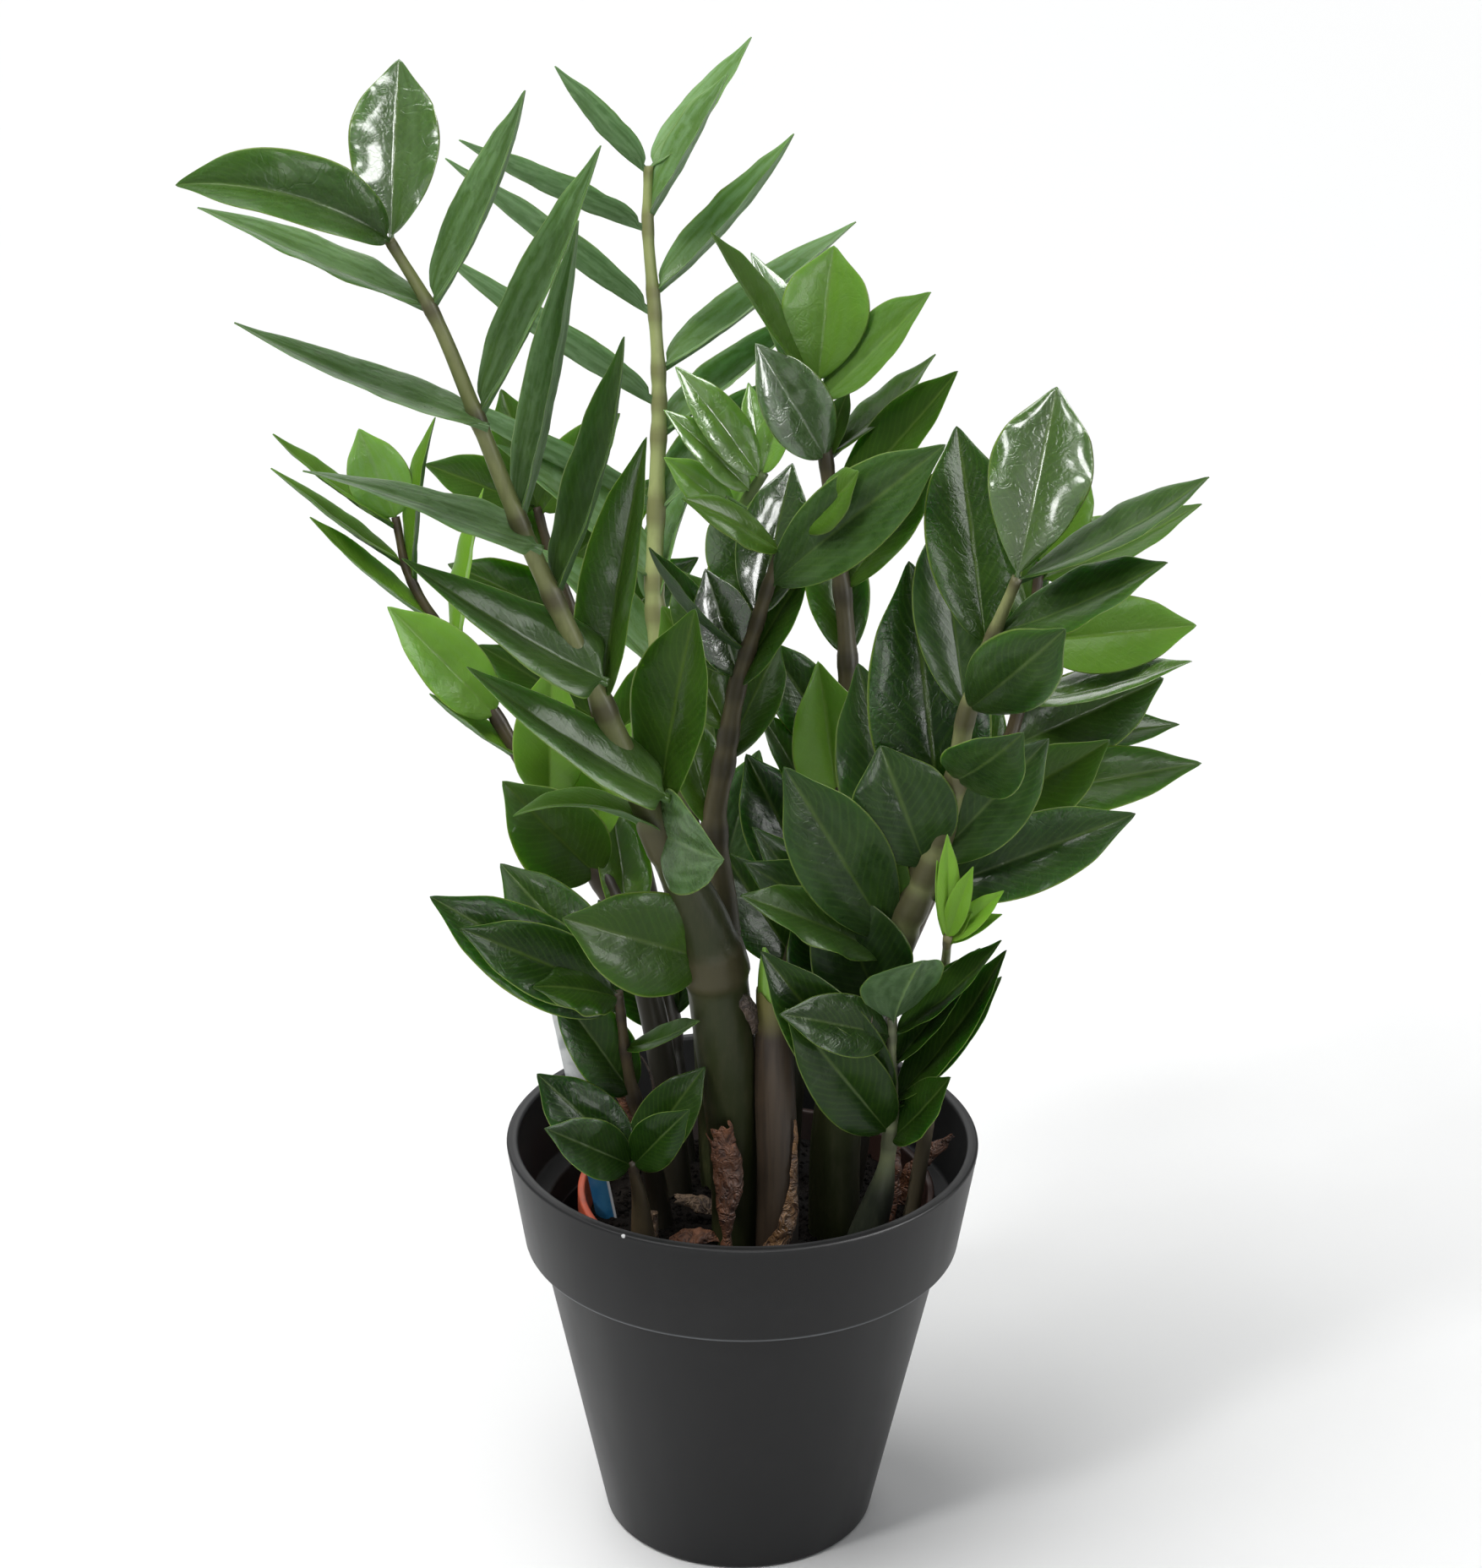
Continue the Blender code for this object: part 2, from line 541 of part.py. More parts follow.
def planter():
    """The outer pot: flat foot, straight taper, a wider band with a rounded lip, and a ledge inside."""
    rim_inner = RIM_RADIUS - RIM_WALL
    ledge_outer = BAND_FOOT_RADIUS - LIP_CORNER
    ledge_inner = BODY_TOP_RADIUS - BODY_WALL
    floor_radius = BASE_RADIUS - BODY_WALL
    profile = (
        (0, 0), (BASE_RADIUS - FOOT_CORNER, 0), (BASE_RADIUS, FOOT_CORNER),
        (BODY_TOP_RADIUS, BAND_FOOT), (BAND_FOOT_RADIUS - LIP_CORNER, BAND_FOOT),
        (BAND_FOOT_RADIUS, BAND_FOOT + LIP_CORNER),
        (RIM_RADIUS, PLANTER_HEIGHT - RIM_CORNER), (RIM_RADIUS - RIM_CORNER, PLANTER_HEIGHT),
        (rim_inner + RIM_CORNER, PLANTER_HEIGHT), (rim_inner, PLANTER_HEIGHT - RIM_CORNER),
        (ledge_outer, LEDGE_HEIGHT), (ledge_inner, LEDGE_HEIGHT - INNER_CORNER),
        (floor_radius, FLOOR + INNER_CORNER), (floor_radius - INNER_CORNER, FLOOR), (0, FLOOR),
    )
    solid = add_solid("outer_pot", *turned(profile))
    finish_solid(solid, material("charcoal_plastic", (0.035, 0.035, 0.036), 0.45))


def nursery_inner_radius(height):
    """Radius inside the nursery pot's wall at a height above the ground."""
    share = (height - NURSERY_FOOT) / NURSERY_HEIGHT
    outer = NURSERY_BASE_RADIUS + (NURSERY_RIM_RADIUS - NURSERY_LIP - NURSERY_BASE_RADIUS) * share
    return outer - NURSERY_WALL


def nursery_pot():
    """The growing pot inside the planter: a thin tapered wall, a rolled lip and drain holes in its floor."""
    foot, top = NURSERY_FOOT, NURSERY_FOOT + NURSERY_HEIGHT
    lip_foot = top - NURSERY_LIP_DEPTH
    outer_at_lip = nursery_inner_radius(lip_foot) + NURSERY_WALL
    floor_top = foot + NURSERY_WALL
    profile = (
        (0, foot), (NURSERY_BASE_RADIUS - NURSERY_CORNER, foot), (NURSERY_BASE_RADIUS, foot + NURSERY_CORNER),
        (outer_at_lip, lip_foot), (NURSERY_RIM_RADIUS, lip_foot), (NURSERY_RIM_RADIUS, top - NURSERY_CORNER),
        (NURSERY_RIM_RADIUS - NURSERY_CORNER, top), (nursery_inner_radius(top) + NURSERY_CORNER, top),
        (nursery_inner_radius(top), top - NURSERY_CORNER),
        (nursery_inner_radius(floor_top), floor_top), (0, floor_top),
    )
    solid = add_solid("nursery_pot", *turned(profile, x=NURSERY_X))
    drains = []
    for k in range(DRAIN_HOLES):
        turn = 2 * math.pi * (k + 0.5) / DRAIN_HOLES
        x, y = NURSERY_X + DRAIN_CIRCLE * math.cos(turn), DRAIN_CIRCLE * math.sin(turn)
        low, high = foot - DRAIN_OVERCUT, floor_top + DRAIN_OVERCUT
        line = np.array(((x, y, low, DRAIN_RADIUS), (x, y, high, DRAIN_RADIUS)))
        drains.append(tube(line, DRAIN_SIDES))
    boolean_with(solid, "DIFFERENCE", "drains", drains)
    finish_solid(solid, material("terracotta_plastic", (0.58, 0.09, 0.038), 0.5))


def soil_lift(x, y):
    """How far the soil's surface stands above or below its mean level."""
    broad = math.sin(x * 0.11 + 0.7) * math.cos(y * 0.09 - 0.4)
    fine = 0.6 * math.sin(x * 0.23 + y * 0.19)
    return SOIL_RELIEF * (broad + fine) / 1.6


def soil():
    """The potting soil, filling the nursery pot, with a plain hole for each thing that stands in it."""
    floor = NURSERY_FOOT + NURSERY_WALL + GAP
    edge = nursery_inner_radius(SOIL_TOP) - SOIL_WALL_GAP
    profile = [(0, floor), (nursery_inner_radius(floor) - SOIL_WALL_GAP, floor), (edge, SOIL_TOP)]
    profile += [(edge * share, SOIL_TOP) for share in reversed(SOIL_RING_SHARES[:-1])] + [(0, SOIL_TOP)]
    points, faces = turned(profile, x=NURSERY_X)
    top = points[:, 2] == SOIL_TOP
    points[top, 2] += [soil_lift(x, y) for x, y in points[top, :2]]
    solid = add_solid("soil", points, faces)
    holes = []
    for frond in FRONDS.values():
        line, _ = stem_line(frond["stem"])
        above = np.searchsorted(line[:, 2], SOIL_TOP + HOLE_ABOVE_SOIL) + 1
        line = line[:above].copy()
        line[0, 2] -= HOLE_CLEARANCE
        holes.append(tube(line, stem_sides(frond), HOLE_CLEARANCE))
    holes.append(box_bar(LABEL_FOOT, LABEL_TOP, LABEL_WIDTH, LABEL_THICKNESS, HOLE_CLEARANCE))
    boolean_with(solid, "DIFFERENCE", "holes", holes)
    finish_solid(solid, material("potting_soil", (0.012, 0.009, 0.007), 0.95), smooth=False)


def plant_label():
    """A blank plastic label that stands in the soil."""
    solid = add_solid("plant_label", *box_bar(LABEL_FOOT, LABEL_TOP, LABEL_WIDTH, LABEL_THICKNESS))
    finish_solid(solid, material("label_plastic", (0.09, 0.24, 0.42), 0.3), smooth=False)


def fronds():
    """Each frond, shoot and dry scale: its stem with its leaflets joined to it."""
    for name, frond in FRONDS.items():
        stem, *leaflets = frond_solids(frond)
        solid = add_solid(name, *stem)
        boolean_with(solid, "UNION", "leaflets", leaflets)
        kind = next(kind for kind in FINISHES if name.startswith(kind))
        finish_solid(solid, material(name, *FINISHES[kind]))


def main():
    for thing in list(bpy.data.objects):
        bpy.data.objects.remove(thing)
    planter()
    nursery_pot()
    soil()
    plant_label()
    fronds()


main()
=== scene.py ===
"""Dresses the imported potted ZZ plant: planter, growing pot, soil, label, fronds, new shoot and dry scales.

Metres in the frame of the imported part, +Z up, the plant's front towards -Y.
Tables hold millimetres and degrees, where they don't say otherwise.
"""

import math

import bmesh
import bpy
import numpy as np
from bpy.props import FloatProperty, FloatVectorProperty, IntProperty, PointerProperty
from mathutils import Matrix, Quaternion, Vector, noise


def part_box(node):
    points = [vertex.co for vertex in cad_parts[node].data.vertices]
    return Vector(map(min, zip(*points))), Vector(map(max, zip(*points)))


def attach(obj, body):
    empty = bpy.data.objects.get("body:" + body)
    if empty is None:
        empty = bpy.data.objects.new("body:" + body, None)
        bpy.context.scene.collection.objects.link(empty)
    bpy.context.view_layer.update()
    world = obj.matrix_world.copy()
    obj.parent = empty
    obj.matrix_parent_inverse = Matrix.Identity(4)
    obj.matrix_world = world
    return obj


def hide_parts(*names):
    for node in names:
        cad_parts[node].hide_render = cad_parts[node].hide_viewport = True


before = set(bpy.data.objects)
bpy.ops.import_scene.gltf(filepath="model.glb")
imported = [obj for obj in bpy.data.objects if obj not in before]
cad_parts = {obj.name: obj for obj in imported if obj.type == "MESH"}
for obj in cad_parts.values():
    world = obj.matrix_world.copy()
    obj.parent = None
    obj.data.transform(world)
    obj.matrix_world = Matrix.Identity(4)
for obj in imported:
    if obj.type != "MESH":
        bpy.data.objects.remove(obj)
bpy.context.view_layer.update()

bl_info = {
    "name": "Potted ZZ plant",
    "version": (1, 0, 0),
    "blender": (4, 5, 0),
    "location": "3D View > Sidebar > ZZ plant",
    "description": "Builds the fine planter, soil, fronds, shoot and dry scales of a potted ZZ plant",
    "category": "Object",
}

MM = 0.001
BODY = "root"
_, PLANTER_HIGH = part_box("outer_pot")
NURSERY_LOW, NURSERY_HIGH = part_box("nursery_pot")
SOIL_LOW, SOIL_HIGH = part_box("soil")
# Heights of the stems' feet in the soil and of the soil's top.
STEM_FOOT, SOIL_TOP = 118.0, 141.0

# Planter: outer radii, and the heights of the band's lower edge and of the ledge inside.
FOOT_RADIUS, BODY_RADIUS, BAND_RADIUS = 58.1, 86.0, 92.4
BAND_FOOT, LEDGE = 131.5, 145.0
# How round its edges are, and the width of the ring that it stands on.
PLANTER_EDGE, BASE_RING = 1.5, 8.0
# The band leans out by this much for each millimetre that it rises.
BAND_SLOPE = 0.1634
# A white speck on the rim: its place in metres.
RIM_SPECK = (-0.0473, -0.0878, 0.1774)

# Soil: radius of its foot.
SOIL_FOOT = 44.4

# Growing pot: radius of its foot, thickness of its wall, how far its lip stands out, and the lip's depth.
POT_FOOT, POT_WALL, POT_LIP, POT_LIP_DEPTH = 47.0, 1.8, 1.2, 9.0

# Label: a strip from its foot in the soil to its top, blue below BLUE_TOP and milky above it.
LABEL_FOOT, LABEL_TOP = (-52.5, -8.0, 115.0), (-77.0, -4.0, 242.0)
LABEL_WIDTH, LABEL_THICKNESS = 8.5, 1.0
BLUE_TOP = 171.0

# Spacing of the rings along a fine stem, in metres.
STEM_SPACING = 0.0025

# Shoot: how far its foot is led into the soil, and the mean height of the sheath's torn edge.
SHOOT_DEPTH = 22.0
SHEATH_TOP = 259.0

# Seed of the noise that crumples the dry scales.
SCALE_SEED = 3

# Fronds. stem: x, y, z and radius, from the soil up to the last pair of leaflets.
# leaflets: distance down the stem from its top, the direction that the leaflet points to as a clock
# angle from +X in the XZ plane, its lean towards the front, its length from root to tip, its width,
# the turn of its upper face from the front towards the sky, and the bend of its midrib from root to tip.
FRONDS = {
    "frond_left_tall": {
        "stem": (
            (-3, -25, 141, 9.6), (-4, -27, 185, 10.2), (-9, -34, 250, 13.0), (-15, -40, 287, 12.0),
            (-26, -48, 319, 8.8), (-38, -54, 348, 6.6), (-52, -61, 385, 4.8), (-60, -65, 407, 4.2),
            (-83, -75, 465, 3.5), (-99, -82, 511, 3.0), (-113, -87, 550, 2.6), (-129, -90, 580, 1.8),
        ),
        "leaflets": (
            (0, 87, -12, 64, 33, 0, 12), (0, 163, 10, 77, 33, 38, 95), (29, 155, 0, 89, 31, 84, -8),
            (29, 65, 5, 88, 30, 62, -24), (76, 157, 5, 95, 32, 86, -8), (74, 66, 5, 112, 31, 60, -20),
            (127, 160, 5, 87, 33, 84, 8), (118, 79, 0, 115, 31, 66, -18), (186, 144, 12, 86, 37, 62, -10),
            (152, 75, 5, 107, 31, 64, -26), (239, 138, 18, 89, 35, 70, -10), (203, 81, -6, 106, 32, 38, 12),
            (268, 160, 22, 66, 24, 96, 58), (262, 81, 8, 98, 37, 40, 14), (264, 15, 58, 50, 42, 14, 10),
            (330, 149, 30, 78, 43, 22, 16),
        ),
    },
    "frond_back_tall": {
        "stem": (
            (-10, 25, 141, 8.2), (-14, 32, 219, 8.6), (-21, 43, 274, 7.4), (-32, 56, 333, 5.2),
            (-39, 69, 388, 4.1), (-39, 79, 427, 3.6), (-38, 89, 473, 3.1), (-40, 97, 507, 2.7),
            (-43, 102, 541, 2.4), (-43, 105, 568, 1.8),
        ),
        "leaflets": (
            (0, 131, 0, 56, 26, 118, -38), (0, 52, -14, 68, 28, 66, -38), (25, 154, 5, 85, 29, 116, -24),
            (21, 63, 16, 73, 26, 72, -14), (60, 144, -8, 106, 30, 118, -22), (52, 49, 0, 88, 30, 72, -28),
            (97, 144, 6, 113, 30, 118, -22), (84, 35, -22, 106, 31, 70, -20),
            (139, 153, -4, 106, 31, 114, -20), (111, 36, -24, 86, 30, 68, -14),
            (172, 141, -10, 87, 32, 60, 12), (144, 43, -26, 82, 30, 60, 12), (211, 139, -18, 76, 30, 60, 16),
            (185, 70, -40, 78, 30, 60, 14),
        ),
    },
    "frond_centre": {
        "stem": (
            (-1, 6, 141, 7.4), (-6, 4, 232, 7.8), (-9, 2, 280, 6.6), (-13, 0, 318, 5.2), (-9, -2, 348, 4.4),
            (-4, -5, 382, 3.6), (3, -8, 408, 2.9), (11, -11, 436, 2.3), (19, -12, 452, 1.8),
        ),
        "leaflets": (
            (2, 54, 34, 46, 24, 66, -34), (14, 145, 20, 50, 24, 74, 20), (30, 45, 16, 99, 34, 26, 16),
            (44, 108, -42, 56, 28, 0, 10), (45, 77, -20, 64, 30, 18, 10), (58, 129, 16, 64, 25, 86, -44),
            (76, 61, 2, 60, 26, 52, 14), (72, 124, -30, 52, 26, 10, 14), (72, 106, 4, 50, 26, 16, 10),
            (141, 109, -20, 54, 26, 40, 14), (110, 61, -35, 56, 26, 30, 14), (96, 119, -14, 58, 28, 24, 14),
        ),
    },
    "frond_centre_back": {
        "stem": (
            (18, 36, 141, 6.8), (23, 43, 234, 7.6), (35, 47, 292, 6.4), (41, 51, 328, 5.0),
            (42, 55, 365, 4.2), (40, 59, 393, 3.8), (36, 60, 422, 3.5), (31, 64, 458, 2.9),
            (27, 66, 488, 2.0),
        ),
        "leaflets": (
            (0, 84, -10, 57, 37, 4, 12), (8, 49, 12, 67, 30, 56, -12), (4, 121, 18, 88, 29, 78, -10),
            (12, 116, -16, 70, 22, 40, 12), (33, 118, 20, 66, 30, 20, 14), (33, 71, -30, 32, 14, 40, 10),
            (53, 51, 8, 80, 31, 56, -10), (32, 38, -28, 66, 26, 76, -14), (89, 50, -20, 62, 28, 50, 14),
            (118, 101, -30, 66, 28, 10, 12), (179, 98, 16, 72, 40, 6, 16), (148, 147, -22, 60, 26, 55, 14),
            (197, 117, 2, 68, 26, 46, 14), (160, 124, -4, 62, 28, 10, 14), (222, 115, 0, 70, 36, 12, 14),
            (256, 122, -2, 62, 32, 12, 14),
        ),
    },
    "frond_inner_young": {
        "stem": (
            (-4, 49, 141, 5.6), (-8, 54, 228, 5.9), (-13, 60, 285, 5.1), (-17, 64, 342, 3.9),
            (-17, 64, 391, 3.2), (-12, 63, 417, 2.8), (-6, 62, 431, 2.5), (6, 61, 451, 1.8),
        ),
        "leaflets": (
            (3, 124, 14, 63, 20, 30, 12), (0, 100, -30, 40, 14, 20, 10), (2, 72, -18, 33, 14, 20, 10),
            (10, 132, 20, 57, 17, 36, 12), (23, 134, 20, 44, 18, 40, 12), (37, 70, -10, 40, 18, 40, 10),
            (190, 74, -12, 62, 30, 12, 14),
        ),
    },
    "frond_right": {
        "stem": (
            (39, -14, 141, 11.0), (39, -16, 183, 11.0), (43, -19, 221, 10.2), (53, -23, 258, 8.7),
            (64, -29, 290, 7.2), (74, -33, 319, 5.8), (82, -40, 354, 4.5), (85, -45, 384, 3.6),
            (93, -51, 417, 2.9), (102, -55, 445, 1.9),
        ),
        "leaflets": (
            (0, 80, -8, 75, 40, 0, 14), (34, 99, -24, 88, 39, 8, 12), (64, 99, -30, 80, 34, 10, 12),
            (117, 98, -14, 108, 50, 6, 12), (153, 104, -18, 99, 41, 10, 12), (0, 31, 0, 82, 33, 84, -22),
            (26, 31, 16, 75, 34, 68, -16), (60, 58, 40, 76, 33, 14, 20), (92, 62, 50, 68, 32, 10, 20),
            (134, 52, 6, 73, 33, 14, 16), (150, 25, 4, 95, 32, 20, -8), (136, 110, 8, 60, 43, 4, 40),
            (174, 117, 18, 105, 39, 16, 14), (170, 112, 8, 72, 32, 6, 14), (180, 145, 2, 72, 30, 40, 12),
            (181, 144, 28, 84, 27, 62, 14), (198, 127, -8, 84, 30, 40, 14), (222, 116, -4, 60, 30, 14, 14),
            (200, 110, 12, 60, 42, 10, 14),
        ),
    },
    "frond_right_back": {
        "stem": (
            (46, 20, 141, 6.2), (57, 29, 221, 6.5), (73, 38, 265, 5.7), (90, 46, 296, 4.6),
            (105, 52, 321, 3.9), (113, 58, 344, 3.0), (117, 64, 367, 2.6), (122, 72, 410, 1.8),
        ),
        "leaflets": (
            (0, 64, -8, 44, 22, 10, 12), (4, 17, -40, 54, 22, 20, 12), (8, 27, 0, 75, 30, 66, -12),
            (34, 9, 6, 70, 34, 22, 12), (60, 21, 12, 75, 28, 80, -18), (80, 22, -12, 73, 38, 26, -12),
            (112, 42, 26, 78, 36, 8, 16), (85, 3, -24, 86, 26, 60, 14), (107, 13, 2, 95, 30, 36, 18),
            (26, 109, -20, 60, 28, 20, 12), (48, 123, -20, 60, 28, 20, 12), (88, 126, -22, 60, 28, 20, 12),
        ),
    },
    "frond_front_right": {
        "stem": (
            (50, -36, 141, 8.2), (53, -36, 153, 7.8), (57, -36, 168, 6.2), (59, -36, 178, 4.4),
            (60, -36, 187, 3.2), (61, -38, 207, 2.9), (60, -40, 231, 2.4), (60, -42, 253, 1.8),
        ),
        "leaflets": (
            (0, 78, 40, 58, 35, 160, 20), (8, 46, 4, 62, 22, 78, -20), (23, 56, -5, 62, 24, 66, -20),
            (41, 57, -2, 82, 27, 64, -20), (45, 49, -20, 72, 24, 66, -18), (59, 62, 26, 52, 22, 60, -16),
            (55, 122, 20, 88, 32, 16, 14), (30, 134, 3, 66, 28, 20, 14), (8, 152, 32, 62, 26, 40, 14),
            (44, 124, 12, 100, 34, 12, 12),
        ),
    },
    "frond_young": {
        "stem": (
            (72, -4, 141, 3.4), (77, -6, 181, 3.2), (80, -8, 212, 2.6), (82, -12, 250, 2.1),
            (82, -20, 266, 2.0), (81.5, -34, 280, 1.8), (80.8, -48, 292, 1.7),
        ),
        "leaflets": (
            (0, 92, 4, 46, 10, 10, 8), (0, 76, 12, 36, 10, 20, 8), (4, 50, 14, 34, 11, 30, 10),
            (7, 37, 16, 27, 9, 50, 10), (9, 64, 26, 22, 8, 50, 10), (5, 99, 8, 38, 9, 30, 8),
        ),
    },
    "frond_lower_left": {
        "stem": (
            (-34, -12, 141, 5.2), (-38, -16, 170, 4.8), (-45, -24, 206, 3.1), (-48, -28, 226, 2.4),
            (-51, -35, 260, 1.8),
        ),
        "leaflets": (
            (11, 146, 0, 92, 37, 34, 14), (0, 148, 16, 75, 30, 34, 10), (2, 141, -32, 76, 32, 26, 14),
            (3, 156, 30, 42, 24, 62, 30), (54, 120, 10, 66, 28, 30, 14), (29, 38, 31, 46, 16, 90, -14),
        ),
    },
    "frond_left_back": {
        "stem": (
            (-27, 15, 141, 6.0), (-37, 24, 214, 6.1), (-49, 33, 254, 5.3), (-65, 40, 285, 4.6),
            (-81, 47, 306, 3.9), (-97, 54, 330, 3.3), (-116, 62, 360, 2.6), (-141, 72, 398, 2.0),
            (-148, 78, 425, 1.6),
        ),
        "leaflets": (
            (0, 110, 0, 42, 27, 10, 14), (4, 140, 10, 66, 22, 94, -16), (20, 142, 0, 68, 23, 94, -16),
            (47, 137, 6, 69, 24, 92, -16), (96, 129, 10, 70, 30, 36, 12), (115, 143, 4, 48, 22, 92, -14),
            (176, 128, 16, 66, 40, 12, 14), (29, 82, 0, 73, 20, 70, 10), (64, 80, -6, 72, 24, 66, 10),
            (138, 88, 6, 66, 32, 6, 16), (165, 72, -10, 60, 28, 40, 14), (202, 100, -26, 62, 28, 40, 14),
        ),
    },
    "frond_back_left": {
        "stem": (
            (-26, 46, 141, 5.8), (-37, 63, 224, 5.9), (-48, 76, 278, 5.1), (-62, 88, 328, 4.0),
            (-74, 101, 370, 3.0), (-86, 109, 402, 2.3), (-91, 114, 419, 1.8),
        ),
        "leaflets": (
            (0, 158, 0, 52, 26, 50, 14), (0, 107, -10, 54, 26, 20, 12), (4, 52, -10, 56, 26, 30, 12),
            (24, 145, -15, 60, 26, 50, 12), (30, 43, -10, 60, 26, 30, 12), (56, 156, -14, 64, 28, 50, 14),
            (65, 39, -8, 64, 28, 40, 14), (98, 151, -14, 64, 28, 50, 14), (107, 47, -6, 64, 28, 40, 14),
            (236, 118, -10, 66, 32, 14, 14), (232, 82, -24, 62, 30, 14, 14),
        ),
    },
    "frond_low": {
        "stem": ((-40, -42, 141, 6.0), (-42, -46, 171, 3.5), (-44, -48, 183, 2.2), (-45, -49, 191, 1.8)),
        "leaflets": (
            (0, 137, -8, 54, 28, 24, 14), (3, 141, 26, 50, 24, 40, 10), (3, 58, 26, 48, 21, 30, 12),
            (3, 56, -6, 52, 24, 26, 12),
        ),
    },
    "shoot_spear": {
        "stem": (
            (15, -34, 141, 8.7), (15, -34, 175, 8.6), (13, -34, 222, 8.2), (12, -34, 250, 6.8),
            (10.6, -34, 264, 5.5), (9.4, -34, 273, 3.6), (8, -34, 280, 0.8),
        ),
        "leaflets": (),
    },
    "dry_bract_centre": {
        "stem": ((-7, -40, 141, 1.8), (-7, -42, 152, 1.6), (-7, -43, 160, 1.4)),
        "leaflets": ((6, 92, -4, 44, 15, 0, 10),),
    },
    "dry_bract_right": {
        "stem": ((61, -10, 141, 1.8), (62, -10, 148, 1.6), (63, -10, 154, 1.4)),
        "leaflets": ((6, 82, 0, 36, 9, 0, 10),),
    },
    "dry_bract_edge": {
        "stem": ((67, 8, 141, 1.6), (70, 8, 149, 1.4), (73, 8, 156, 1.2)),
        "leaflets": ((2, 44, -4, 23, 8, 20, 20),),
    },
    "dry_bract_low": {
        "stem": ((-9, -9, 141, 1.8), (-9, -9, 145, 1.8), (-10, -9, 149, 1.4)),
        "leaflets": ((3, 166, 0, 18, 9, 60, 10),),
    },
    "dry_stub": {
        "stem": ((-37, -24, 141, 2.3), (-37, -24, 147, 2.1), (-37, -24, 153, 1.9)),
        "leaflets": (),
    },
}

